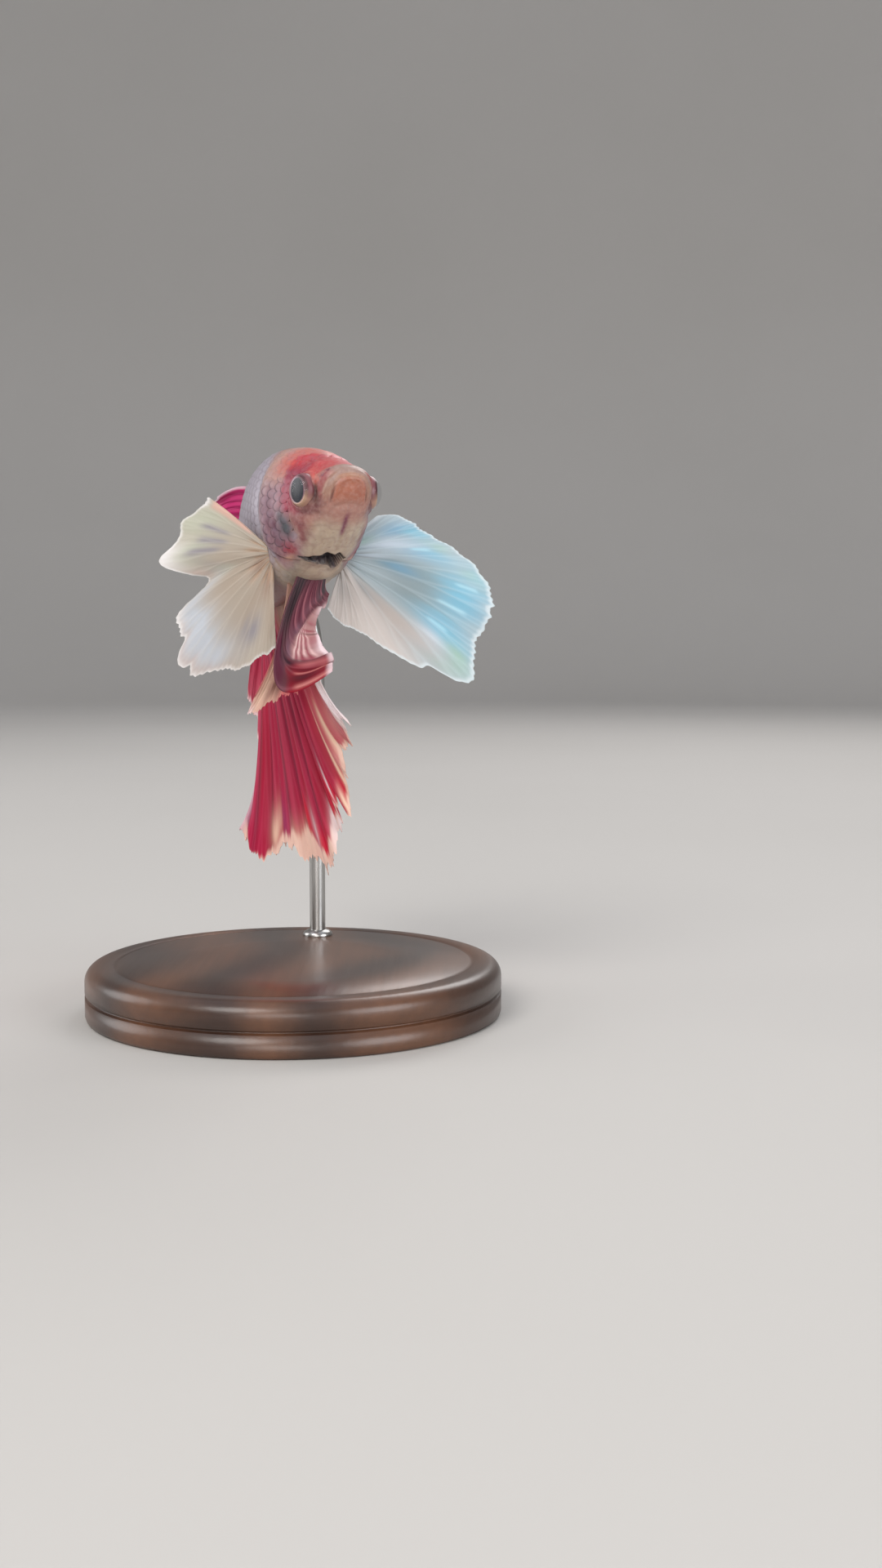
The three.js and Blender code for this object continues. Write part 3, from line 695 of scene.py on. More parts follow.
def make_scales():
    places = scale_places()
    s0, a0 = places[:, 0], places[:, 1]
    side0, height0 = section(s0, a0)
    root = in_body(s0, side0, height0)
    cover = scaled(s0, a0, np.hypot(*eye_place(root, side0)))
    near_cut = np.abs(s0 + 0.9 - gill_cut_at(a0)) < 0.75
    keep = (cover > 0.4) & ~(near_cut & (np.sin(a0) < 0.8))
    places, s0, a0, cover = places[keep], s0[keep], a0[keep], cover[keep]
    head = smooth(15, 11, s0)
    tail = smooth(34, 46, s0)
    size = (SCALE_SIZE * (1 - 0.14 * head - 0.18 * tail) * smooth(0, 0.75, cover))[:, None]
    jitter = hashed(places[:, 2], places[:, 3] + 50, places[:, 4] + 5)[:, None] - 0.5

    # One scale: its middle, its rings, then the underside's ring and middle.
    n = SCALE_SPOKES
    r = np.concatenate([[0], np.repeat(SCALE_RINGS, n), np.ones(n), [0]])
    theta = turn_of(n)
    t = np.concatenate([[0], np.tile(theta, len(SCALE_RINGS)), theta, [0]])
    under = np.arange(len(r)) >= len(r) - n - 1
    forward = r * np.cos(t)
    sideways = r * np.sin(t) * (1 - 0.3 * np.maximum(-np.cos(t), 0))

    # Every scale's points, set out over the body's surface from its root.
    s = s0[:, None] + (0.35 + 1.05 * forward) * size
    half = half_width_at(np.clip(s, 0, BODY_LENGTH))
    level = level_at(s)
    ca, sa = np.cos(a0)[:, None], np.sin(a0)[:, None]
    rise = np.where(sa > 0, back_at(s) - level, level - belly_at(s))
    a = a0[:, None] + sideways * size * 0.8 / np.maximum(np.hypot(half * sa, rise * ca), 0.4)
    side, height = section(s, a)
    flat = in_body(s, side, height)
    step_s, step_a = 0.05, 0.02
    ahead = in_body(s + step_s, *section(s + step_s, a))
    normal = unit(np.cross(in_body(s, *section(s, a + step_a)) - flat, ahead - flat))
    normal *= np.sign(((flat - in_body(s, 0 * s, level)) * normal).sum(-1, keepdims=True))
    out = 0.035 + 0.105 * (forward + 0.15 * jitter) + 0.03 * (1 - r**2) - COAT_DEPTH
    out -= under * SCALE_THICKNESS * (0.4 + 0.6 * (1 - r))
    sunk = smooth(0.95, 0.75, np.sin(a)) * 0.28 * behind_gill(s, a)
    points = flat + normal * (np.minimum(out, -0.005) - sunk)[..., None]

    k = np.arange(n)
    after = (k + 1) % n
    low = 1 + n * np.arange(len(SCALE_RINGS))[:, None]
    quads = np.stack([low + k, low + n + k, low + n + after, low + after], -1).reshape(-1, 4)
    last = 1 + n * len(SCALE_RINGS)
    tris = np.vstack([
        np.stack([0 * k, 1 + k, 1 + after], -1),
        np.stack([0 * k + last + n, last + after, last + k], -1),
    ])
    shift = (np.arange(len(s)) * len(r))[:, None, None]
    marks = markings(flat, s, a, side, height)
    trailing = smooth(0.0, 0.7, forward) * smooth(0.7, 0.98, r)
    patchy = 0.7 + 0.9 * noise(s * 0.9, a * 5, 2.2, 2)
    marks["rim"] = trailing * np.clip(0.1 + marks["cheek"] * patchy, 0, 1)
    marks["gleam"] = bell(r - 0.4, 0.4) * marks["lilac"] * (1 - marks["cheek"])
    u = (s0 / BODY_LENGTH)[:, None] + PATCH_HALF * forward
    v = (((a0 + np.pi / 2) / TAU) % 1.0)[:, None] + PATCH_HALF * sideways
    return build(
        "scales", points.reshape(-1, 3), quads + shift, scale_shader(),
        {key: v.ravel() for key, v in marks.items()}, tris + shift, np.stack([u, v], -1).reshape(-1, 2),
    )


# ---------- eyes ----------

PUPIL_SHARE = 0.7
IRIS_OUT = 0.8
LENS_OUT = 0.14
CORNEA_INSET = 0.985
EYE_RINGS = 72
EYE_LAYERS = dict(rose="#a9828f", shade="#54292f", cream="#bd987c", pupil="#0f1220", ring="#b3a8b6",
    rim="#7c4a50")


def eye_shader():
    shader = Shader("eye", Roughness=0.35)
    return shader.done(shader.layers("#8a6068", EYE_LAYERS))


def cornea_shader():
    return Shader("cornea", Roughness=0.06, IOR=1.6, Alpha=0.09, Specular_IOR_Level=0.6).done("#343a46")


def dome_piece(name, side, radius, out, material, values=None, *nodes):
    """A round piece about an eye's axis: rings from its outer middle inward, closed at both ends."""
    centre, axis = EYES[side]
    ahead = -np.cross(UP, axis) * side
    spin = turn_of(EYE_RINGS)[:, None]
    spokes = np.cos(spin) * ahead + np.sin(spin) * UP
    points = centre + out[:, None, None] * axis + radius[:, None, None] * spokes
    tips = [centre + out[0] * axis, centre + out[-1] * axis]
    dress(rings(name, points, tips, material, values, flip=side < 0), "eye", *nodes)


def make_eye(side, material, clear):
    node = "eye_left" if side > 0 else "eye_right"
    tilt = np.linspace(0.02, np.pi - 0.02, EYE_RINGS)
    share = np.sin(tilt)
    dome = EYE_DOME * np.cos(tilt)
    lens = IRIS_OUT + LENS_OUT * (1 - (share / PUPIL_SHARE) ** 2)
    iris = np.where(share < PUPIL_SHARE, lens, np.minimum(IRIS_OUT, 0.9 * dome))
    out = np.where(dome > 0, iris, dome)
    forward, above = np.cos(turn_of(EYE_RINGS)), np.sin(turn_of(EYE_RINGS))
    r = share[:, None]
    outside = dome[:, None] > 0
    streak = noise(forward * 7, above * 7, r * 2.5, 2)
    round_ = r * np.hypot(forward * 1.12, above * 0.98) - PUPIL_SHARE
    low_front = smooth(0.25, 0.95, 0.35 * forward - 0.94 * above)
    values = dict(
        rose=smooth(0.1, 0.8, above) * (0.8 + 0.2 * streak),
        shade=smooth(-0.3, 0.3, forward) * smooth(-0.8, -0.3, above) * smooth(0.64, 0.72, r),
        cream=low_front * (0.85 + 0.3 * streak) * smooth(0.68, 0.76, r),
        pupil=smooth(0.02, -0.02, round_) * outside,
        ring=(0.8 - 0.75 * smooth(-0.5, 0.2, forward)) * bell(round_ - 0.025, 0.02) * outside,
        rim=smooth(0.86, 0.94, r) * (1 - 0.6 * low_front),
    )
    values = {key: np.clip(v + 0 * streak, 0, 1) for key, v in values.items()}
    dome_piece(node + "_ball", side, EYE_RADIUS * share, out, material, values, node)

    tilt = np.linspace(0.02, 1.4, EYE_RINGS // 2)
    radius = np.append(EYE_RADIUS * CORNEA_INSET * np.sin(tilt), [EYE_RADIUS * 0.8, 0.05])
    out = np.append(EYE_DOME * CORNEA_INSET * np.cos(tilt), [0.0, -0.2])
    dome_piece(node + "_cornea", side, radius, out, clear)


# ---------- fins ----------


def direction(station, heading, rise):
    """A direction in the fish's own terms: heading 0 is straight back, 90 its left and -90 its right."""
    turn = np.radians(float(turn_at(station)))
    left = np.array([np.cos(turn), np.sin(turn), 0])
    back = np.array([-np.sin(turn), np.cos(turn), 0])
    h, r = np.radians(heading), np.radians(rise)
    flat = (np.cos(r) * np.cos(h))[..., None] * back + (np.cos(r) * np.sin(h))[..., None] * left
    return flat + np.sin(r)[..., None] * UP


def root_line(start, end):
    return lambda a: in_body(*[mix(start[k], end[k], a) for k in range(3)])


def back_line(start, end):
    return lambda a: in_body(mix(start, end, a), 0 * a, back_at(mix(start, end, a)) - FIN_ROOT_DEPTH)


def belly_line(start, end):
    return lambda a: in_body(mix(start, end, a), 0 * a, belly_at(mix(start, end, a)) + FIN_ROOT_DEPTH)


# How each fin stands. Lists run across the fin, from its first ray to its last, in even steps:
# lengths, and the headings and rises of the rays at their roots and tips. A notch is (place
# across, half width, share of the length). The rest are what PLAIN gives for a plain fin.
PLAIN = dict(
    web=0.04, folds=1, depth=0.0, bend=[0.5, 0.5], rows=64, branch=0.42,
    pleat=(0.05, 0.05), pleats_per_ray=1.0, teeth=0.012, notches=(),
)
FINS = dict(
    pectoral_fin_right=dict(
        station=14, rays=16, folds=3, depth=0.3, web=0.02,
        root=root_line((13.5, -5.0, -4.2), (15.0, -4.1, -6.2)),
        length=[10.4, 11.4, 13.4, 13.5, 16, 12, 9.6, 15.6, 16.2, 18.2, 17.8, 14.9, 13.5, 12, 10.5, 10, 9],
        heading=[-38, -37, -28], tip_heading=[-24, -24, -18],
        rise=[40, 21, 2, -14, -31, -48, -66, -82, -95],
        tip_rise=[28, 9, -8, -21, -35, -48, -64, -78, -90],
        pleat=(0.12, 0.01), pleats_per_ray=0.5, notches=((0.52, 0.012, 0.06), (0.6, 0.01, 0.05)),
    ),
    pectoral_fin_left=dict(
        station=14, rays=16, folds=3, depth=0.28, web=0.02,
        root=root_line((13.9, 4.1, -4.2), (14.3, 3.9, -6.2)),
        length=[5.5, 7.5, 9, 10.5, 13, 15.5, 17.5, 19, 18.5, 19, 20.5, 15, 10.5, 8, 7, 6, 5],
        heading=[110, 112, 114], tip_heading=[100, 102, 106],
        rise=[48, 26, 9, -6, -23, -40, -62, -84, -108],
        tip_rise=[38, 16, -1, -16, -31, -46, -68, -90, -108],
        pleat=(0.11, 0.025), pleats_per_ray=0.5, notches=((0.44, 0.01, 0.04), (0.665, 0.012, 0.07)),
    ),
    ventral_fin_left=dict(
        station=12, rays=9, rows=90, bend=[0.4, 0.4, 0.36, 0.28, 0.32, 0.34],
        root=root_line((12.6, -1.9, -7.2), (12.8, 1.7, -7.1)),
        length=[34, 26.5, 23.5, 18.5, 14, 9.5, 7, 6.5, 4.5, 3],
        heading=[-84, -80, -76], tip_heading=[100, 104, 108],
        rise=[-69, -66, -63, -67, -68, -70], tip_rise=[36, 19, 14, -4, -13, -37],
        pleat=(0.05, 0.07), notches=((0.2, 0.05, 0.1), (0.43, 0.05, 0.06), (0.75, 0.06, 0.12)),
    ),
    ventral_fin_right=dict(
        station=12, rays=5, bend=[0.4, 0.44, 0.38, 0.42],
        root=root_line((15, -2.2, -7.2), (16, -1.2, -7.4)),
        length=[14, 17, 15, 13.5, 13],
        heading=[-64, -64, -64], tip_heading=[-64, -64, -64],
        rise=[-83, -87, -90], tip_rise=[-60, -56, -67, -80, -93],
    ),
    dorsal_fin=dict(
        station=30, rays=10, folds=2, depth=0.4, root=back_line(27, 36),
        length=[11.5, 13, 14, 14.5, 13, 9],
        heading=[-26, -26, -20], tip_heading=[-30, -28, -24],
        rise=[30, 10, -12], tip_rise=[-24, -25, -38], pleat=(0.06, 0.09),
    ),
    anal_fin=dict(
        station=26, rays=24, folds=6, depth=0.55, web=0.03, rows=84,
        root=belly_line(19, 42.5),
        length=[
            18, 16.5, 19, 20, 20, 22, 23, 24, 28, 26, 28, 29, 32,
            33, 34, 32.5, 32, 31, 30, 31, 32, 31, 30, 30, 29,
        ],
        bend=[0.34, 0.3, 0.3, 0.3, 0.26],
        heading=[114, 114, 114], tip_heading=[114, 114, 114],
        rise=[-82, -78, -76, -76, -76, -79, -84, -90, -89],
        tip_rise=[-40, -48, -54, -62, -70, -79, -88, -101, -122],
        pleat=(0.1, 0.16), pleats_per_ray=0.75,
        notches=(
            (0.09, 0.012, 0.09), (0.185, 0.014, 0.05), (0.28, 0.012, 0.06), (0.35, 0.014, 0.08),
                (0.4, 0.01, 0.05),
            (0.49, 0.016, 0.06), (0.62, 0.008, 0.03), (0.7, 0.012, 0.04), (0.9, 0.02, 0.04),
        ),
    ),
    caudal_fin=dict(
        station=48, rays=12, folds=3, depth=0.5,
        root=root_line((47, 0, 2.3), (47, 0, -2.3)),
        length=[19, 21, 22, 21, 20, 18],
        heading=[-22, -18, -14], tip_heading=[-32, -34, -40],
        rise=[0, -20, -40, -60, -80], tip_rise=[-70, -80, -86, -90, -94], pleat=(0.1, 0.12),
    ),
)


def fin_point(fin, a, t, ragged=1.0):
    length = across(fin["length"])(a) * ragged
    out = direction(fin["station"], across(fin["heading"])(a), across(fin["rise"])(a))
    bent = direction(fin["station"], across(fin["tip_heading"])(a), across(fin["tip_rise"])(a))
    bend = across(fin["bend"])(a)
    return (
        fin["root"](a)
        + out * (length * (1 - bend) * (2 * t - t * t))[..., None]
        + bent * (length * bend * t * t)[..., None]
    )


def ray_pattern(fin, a, t, seed):
    """How near each point is to a ray, from 0 to 1. Each ray splits in two and then in four."""
    x = a * fin["rays"]
    nearest = np.round(x)
    first = fin["branch"] + 0.08 * (hashed(nearest, np.full(x.shape, seed)) - 0.5)
    spread1 = 0.21 * smooth(first, first + 0.35, t)
    spread2 = 0.1 * smooth(first + 0.28, first + 0.55, t)
    offset = np.abs(x - nearest)
    once = np.abs(offset - spread1)
    twice = np.abs(once - spread2)
    width = mix(0.13, 0.055, smooth(0.1, 0.8, t))
    return bell(twice, width)


def grid_normals(points):
    n = np.cross(np.gradient(points, axis=0), np.gradient(points, axis=1))
    return n / (np.linalg.norm(n, axis=-1, keepdims=True) + 1e-12)


def make_fin(name, marks, material, slot_name):
    """A thin fin: a sheet along its rays, with folds, pleats and a ragged edge, and raised rays."""
    fin = {**PLAIN, **FINS[name]}
    seed = sorted(FINS).index(name) * 13 + 3
    columns, rows = fin["rays"] * 16 + 1, fin["rows"]
    a, t = np.meshgrid(np.linspace(0, 1, columns), np.linspace(0, 1, rows) ** 0.9, indexing="ij")
    x = a * fin["rays"]
    scallop = (1 - np.cos(TAU * x)) / 2
    ragged = 1 - fin["web"] * scallop * (0.8 + 0.4 * noise(x * 1.7, seed, 0.3, 2))
    teeth = 0.5 + 0.5 * np.cos(TAU * (4 * x + 0.5 * noise(x * 2.1, seed + 0.2)))
    ragged -= fin["teeth"] * teeth * (1 + noise(x * 0.9, seed + 0.7))
    for at, width, deep in fin["notches"]:
        ragged -= deep * bell(a - at, width)
    sheet = fin_point(fin, a, t, mix(1.0, ragged, smooth(0.3, 1.0, t)))

    folds = fin["depth"] * (0.1 + 0.9 * t) * np.sin(TAU * fin["folds"] * a)
    sway = 0.35 * noise(a * 6, t * 1.2, seed)
    pleats = mix(*fin["pleat"], smooth(0.12, 0.36, t)) * smooth(0.02, 0.12, t)
    pleats *= np.cos(TAU * (x * fin["pleats_per_ray"] + sway)) * (0.8 + 0.35 * noise(a * 9, seed, 3.0))
    ripple = 0.14 * smooth(0.5, 1.0, t) * noise(x * 0.7, t * 2.5, seed, 2)
    ripple = ripple + 0.1 * noise(a * 5, t * 1.7, seed + 5)
    sheet += grid_normals(fin_point(fin, a, t)) * (folds + pleats + ripple * smooth(0, 0.3, t))[..., None]

    rays = ray_pattern(fin, a, t, seed)
    edge = np.minimum(1.0, np.minimum(a, 1 - a) * fin["rays"] * 3) ** 0.5
    edge = np.minimum(edge, np.minimum(1.0, (1 - t) * 25 + 0.15) ** 0.5)
    thick = mix(0.14, 0.05, smooth(0.0, 0.9, t)) + mix(0.05, 0.03, t) * rays * smooth(0, 0.06, t)
    lift = grid_normals(sheet) * (thick * mix(0.45, 1.0, edge))[..., None]
    points = np.vstack([p.reshape(-1, 3) for p in (sheet + lift, sheet - lift)])

    n = columns * rows
    under = grid_quads(columns, rows)
    index = np.arange(n).reshape(columns, rows)
    loop = np.concatenate([index[:, 0], index[-1, 1:], index[-2::-1, -1], index[0, -2:0:-1]])
    after = np.roll(loop, -1)
    quads = np.vstack([under[:, ::-1], under + n, np.stack([loop, after, after + n, loop + n], -1)])

    values = marks(a, t, x, noise(x * 1.3, t * 1.6, seed, 2))
    light = ("pale", "white", "cream", "pink", "salmon")
    bright = np.clip(sum(values.get(key, 0 * a) for key in light), 0, 1)
    values["ray"] = rays * (1 - 0.7 * bright)
    values["streak"] = (0.5 + 0.5 * noise(x * 3.3, t * 1.1, seed + 7, 2)) * (1 - 0.7 * bright)
    values = {key: np.tile(np.clip(v + 0 * a, 0, 1).ravel(), 2) for key, v in values.items()}
    dress(build(name + "_membrane", points, quads, material, values), slot_name, name)


def fin_shader(name, base, layers, ray_colour, streak_colour, through, ray_share, streak_share):
    shader = Shader(name, Roughness=0.5, Coat_Weight=0.03, Coat_Roughness=0.3, Specular_IOR_Level=0.18)
    colour = shader.layers(base, layers)
    colour = shader.part_blend(colour, streak_colour, shader.value("streak"), streak_share)
    colour = shader.part_blend(colour, ray_colour, shader.value("ray"), ray_share)
    shader.done(colour, (shader.noise(2500, 3.0), 0.015))
    shader.let_light_through(colour, through)
    return shader.material


# ---------- the fins' colours, from their first ray to their last (a) and root to tip (t) ----------


def right_pectoral_marks(a, t, x, streak):
    wa, wt = a + 0.03 * streak, t + 0.06 * streak
    soft, firm = partial(patches, wa, wt), partial(patches, a, t)
    # Lilac bars lie along the upper rays, from the middle of the fin outward.
    bars = bell(a - 0.135 + 0.02 * t, 0.014) + bell(a - 0.182, 0.016) + bell(a - 0.222 - 0.02 * t, 0.016)
    return dict(
        warm=soft((0.42, 0.35, 0.25, 0.35, 0.7), (0.7, 0.6, 0.05, 0.45, 0.5), (0.95, 0.5, 0.09, 0.4, 0.9)),
        yellow=soft((0.1, 0.85, 0.1, 0.35, 1), (0.24, 0.75, 0.035, 0.2, 0.9),
            (0.36, 0.66, 0.04, 0.14, 0.5)),
        lilac=bars * window(0.35, 0.5, 0.66, 0.82, t) * 0.9
            + soft((0.77, 0.62, 0.06, 0.14, 0.9), (0.3, 0.62, 0.05, 0.1, 0.3)),
        blue=soft((0.5, 0.88, 0.12, 0.22, 1), (0.58, 0.8, 0.1, 0.22, 0.7), (0.66, 0.9, 0.08, 0.2, 0.4)),
        blush=soft((0.6, 0.98, 0.12, 0.08, 0.6), (0.335, 0.93, 0.03, 0.1, 0.7),
            (0.47, 0.97, 0.03, 0.03, 0.3)),
        base=smooth(0.26, 0.1, t) * (0.5 + 0.5 * np.cos(TAU * x / 2 + 1)) * 0.6,
        brown=firm((0.5, 0.08, 0.14, 0.08, 0.7), (0.85, 0.2, 0.12, 0.2, 0.6)),
        glow=0.9 * smooth(0.05, 0.015, a) * window(0.15, 0.35, 0.85, 0.95, t),
        white=smooth(0.95, 0.99, t + 0.015 * streak) * 0.7
            + firm((0.245, 0.97, 0.045, 0.16, 1), (0.02, 0.98, 0.03, 0.05, 0.8),
            (0.45, 0.97, 0.03, 0.08, 0.6)),
    )


RIGHT_PECTORAL = ("#c3b9ac", dict(
    warm="#b8a796", yellow="#c6c8b6", lilac="#9d98a0", blue="#d0d6de", blush="#d8c2b8",
    base="#d9b08f", brown="#a5826f", glow="#eec3b4", white="#f3f1f0",
))


def left_pectoral_marks(a, t, x, streak):
    wa, wt = a + 0.025 * streak, t + 0.05 * streak
    soft, firm = partial(patches, wa, wt), partial(patches, a, t)
    fine = 0.5 + 0.5 * noise(x * 3.2, t * 0.9, 5.5, 2)
    glints = (
        bell(a - 0.255 - 0.02 * t, 0.008) * window(0.55, 0.62, 0.7, 0.78, t)
        + bell(a - 0.482, 0.006) * window(0.62, 0.68, 0.82, 0.88, t)
        + bell(a - 0.565, 0.006) * window(0.6, 0.66, 0.74, 0.8, t)
        + bell(a - 0.405, 0.006) * window(0.72, 0.78, 0.88, 0.92, t)
    )
    return dict(
        grey=soft((0.43, 0.55, 0.09, 0.25, 0.9), (0.55, 0.48, 0.06, 0.2, 0.6),
            (0.38, 0.3, 0.05, 0.12, 0.8)),
        blue=soft((0.13, 0.75, 0.05, 0.25, 0.9), (0.28, 0.62, 0.05, 0.18, 0.7),
            (0.41, 0.38, 0.03, 0.12, 0.9), (0.45, 0.8, 0.05, 0.16, 0.8),
            (0.565, 0.76, 0.035, 0.2, 1)) * (0.45 + 0.55 * fine),
        cyan=soft((0.175, 0.9, 0.04, 0.14, 1), (0.28, 0.72, 0.05, 0.14, 0.7), (0.44, 0.78, 0.08, 0.16, 1),
            (0.36, 0.95, 0.06, 0.08, 0.5), (0.57, 0.74, 0.05, 0.2, 0.9)) * (0.55 + 0.45 * fine),
        pearl=soft((0.21, 0.45, 0.05, 0.22, 0.9), (0.33, 0.18, 0.04, 0.14, 0.6),
            (0.625, 0.68, 0.03, 0.12, 0.9)),
        green=soft((0.61, 0.88, 0.035, 0.1, 0.9), (0.25, 0.85, 0.03, 0.08, 0.5),
            (0.36, 0.9, 0.03, 0.08, 0.4), (0.12, 0.3, 0.04, 0.15, 0.5)),
        cream=smooth(0.64, 0.74, wa),
        peach=soft((0.68, 0.5, 0.05, 0.4, 0.75), (0.8, 0.6, 0.03, 0.3, 0.4)),
        shade=firm((0.69, 0.25, 0.02, 0.14, 0.7), (0.9, 0.3, 0.1, 0.3, 0.6), (0.29, 0.16, 0.012, 0.1, 0.6),
            (0.37, 0.14, 0.012, 0.08, 0.6)) + 0.5 * smooth(0.12, 0.03, t),
        glint=0.6 * glints,
        white=smooth(0.955, 0.99, t + 0.015 * streak) * 0.75 + 0.9 * smooth(0.04, 0.01, a)
            * smooth(0.2, 0.45, t),
    )


LEFT_PECTORAL = ("#bcc8cd", dict(
    grey="#97a6a9", blue="#7db4d4", cyan="#8ccbe0", pearl="#dae4ee", green="#a9cabb",
    peach="#cdb5a6", cream="#d6cdc8", shade="#a09c9a", glint="#cdf2fc", white="#e8eff2",
))


def hook_marks(a, t, x, streak):
    wa, wt = a + 0.02 * streak, t + 0.03 * streak
    soft, firm = partial(patches, wa, wt), partial(patches, a, t)
    # Painted shade: a dark line along the hook's inner fold.
    crease = bell(a - across([0.15, 0.14, 0.118, 0.11, 0.112, 0.128, 0.15])(np.clip(t / 0.65, 0, 1)), 0.024)
    inner = smooth(0.17, 0.26, wa)
    blush_start = across([0.6, 0.56, 0.56, 0.62, 0.68, 0.74, 0.88, 0.97, 1.1])(a)
    rays = 0.5 + 0.5 * np.cos(TAU * x)
    # Pale wedges and dark seams fan out from a point inside the hook's bowl.
    fan = (wt - 0.7) / np.maximum(0.62 - a, 0.05)
    within = inner * smooth(0.6, 0.5, a) * smooth(0.54, 0.6, t)
    return dict(
        mauve=inner * smooth(0.25, 0.5, wt) * smooth(0.68, 0.55, t),
        coal=patches(wa, t, (0.27, 0.12, 0.11, 0.22, 1), (0.1, 0.1, 0.12, 0.22, 0.9),
            (0.42, 0.06, 0.12, 0.12, 0.6)),
        # Painted shadow: dark grey on the upper inner part of the hook.
        ash=smooth(0.74, 0.92, wa) * smooth(0.85, 0.6, t),
        maroon=patches(wa, t, (0.45, 0.42, 0.12, 0.26, 0.9), (0.68, 0.3, 0.16, 0.3, 0.8)),
        pinkish=rays**4 * smooth(0.36, 0.48, wa) * window(0.1, 0.28, 0.6, 0.7, t) * 0.85,
        purple=smooth(0.13, 0.07, a) * window(0.2, 0.3, 0.5, 0.64, t),
        blush=inner * smooth(-0.06, 0.08, wt - blush_start),
        grape=soft((0.235, 0.55, 0.05, 0.08, 0.8), (0.44, 0.6, 0.05, 0.07, 0.6)),
        wedge=sum(bell(fan - at, 0.06) for at in (-0.12, 0.08, 0.33, 0.62)) * within * 0.9,
        seam=sum(bell(fan - at, 0.045) for at in (-0.02, 0.21, 0.47)) * within * 0.85,
        rayred=firm((0.242, 0.8, 0.03, 0.14, 0.9), (0.37, 0.93, 0.03, 0.1, 0.5),
            (0.49, 0.86, 0.014, 0.14, 0.7), (0.57, 0.88, 0.014, 0.12, 0.6)),
        crimson=smooth(0.2, 0.13, wa) * smooth(0.52, 0.62, wt - 0.08 * smooth(0.1, 0.04, wa)),
        # Painted highlight: pale salmon lines at the bowl's lower rim.
        salmon=soft((0.155, 0.83, 0.018, 0.12, 0.5), (0.12, 0.95, 0.04, 0.05, 0.4)),
        deep=firm((0.06, 0.78, 0.028, 0.16, 0.95), (0.1, 0.62, 0.02, 0.05, 0.6),
            (0.115, 0.78, 0.01, 0.14, 0.7)),
        # Painted highlight: pale cream lines along the outer rays near the bowl's rim.
        cream=0.6 * bell(a - 0.022, 0.009) * smooth(0.7, 0.78, t) + 0.4 * bell(a - 0.09, 0.008)
            * smooth(0.66, 0.74, t),
        crease=crease * window(0.06, 0.14, 0.58, 0.72, t),
        white=np.clip(smooth(0.95, 0.99, t) * smooth(0.6, 0.35, a) * 0.8
            + firm((0.315, 1.0, 0.05, 0.07, 0.9), (0.74, 0.98, 0.1, 0.1, 0.7)), 0, 1),
    )


# The hook's dark grey is a painted shadow, its dark crease line painted shade, and its salmon and cream
# lines painted highlights.
HOOK = ("#5f343d", dict(
    mauve="#6d4450", coal="#2a2226", ash="#413b3e", maroon="#5f2838", pinkish="#935660", purple="#54182f",
    blush="#a87c7b", grape="#6c5060", wedge="#dcb8b6", seam="#8a3c4a", rayred="#8f3546", crimson="#86051f",
    salmon="#d07f80", deep="#4c0616", cream="#e2978c", crease="#2b0f1e", white="#e2cdd2",
))


def spike_marks(a, t, x, streak):
    return dict(
        olive=patches(a, t, (0.52, 0.82, 0.18, 0.15, 1)),
        rose=smooth(0.55, 0.75, a + 0.05 * streak) * smooth(0.5, 0.7, t)
            + 0.8 * smooth(0.16, 0.02, a) * smooth(0.2, 0.4, t),
        cream=patches(a, t, (0.32, 0.86, 0.07, 0.14, 0.8), (0.25, 0.7, 0.08, 0.1, 0.5)),
        white=patches(a, t, (0.225, 1.0, 0.08, 0.06, 1)),
    )


SPIKE = ("#ebbda8", dict(olive="#6f473d", rose="#d8646a", cream="#fbd8c0", white="#f6e6ea"))


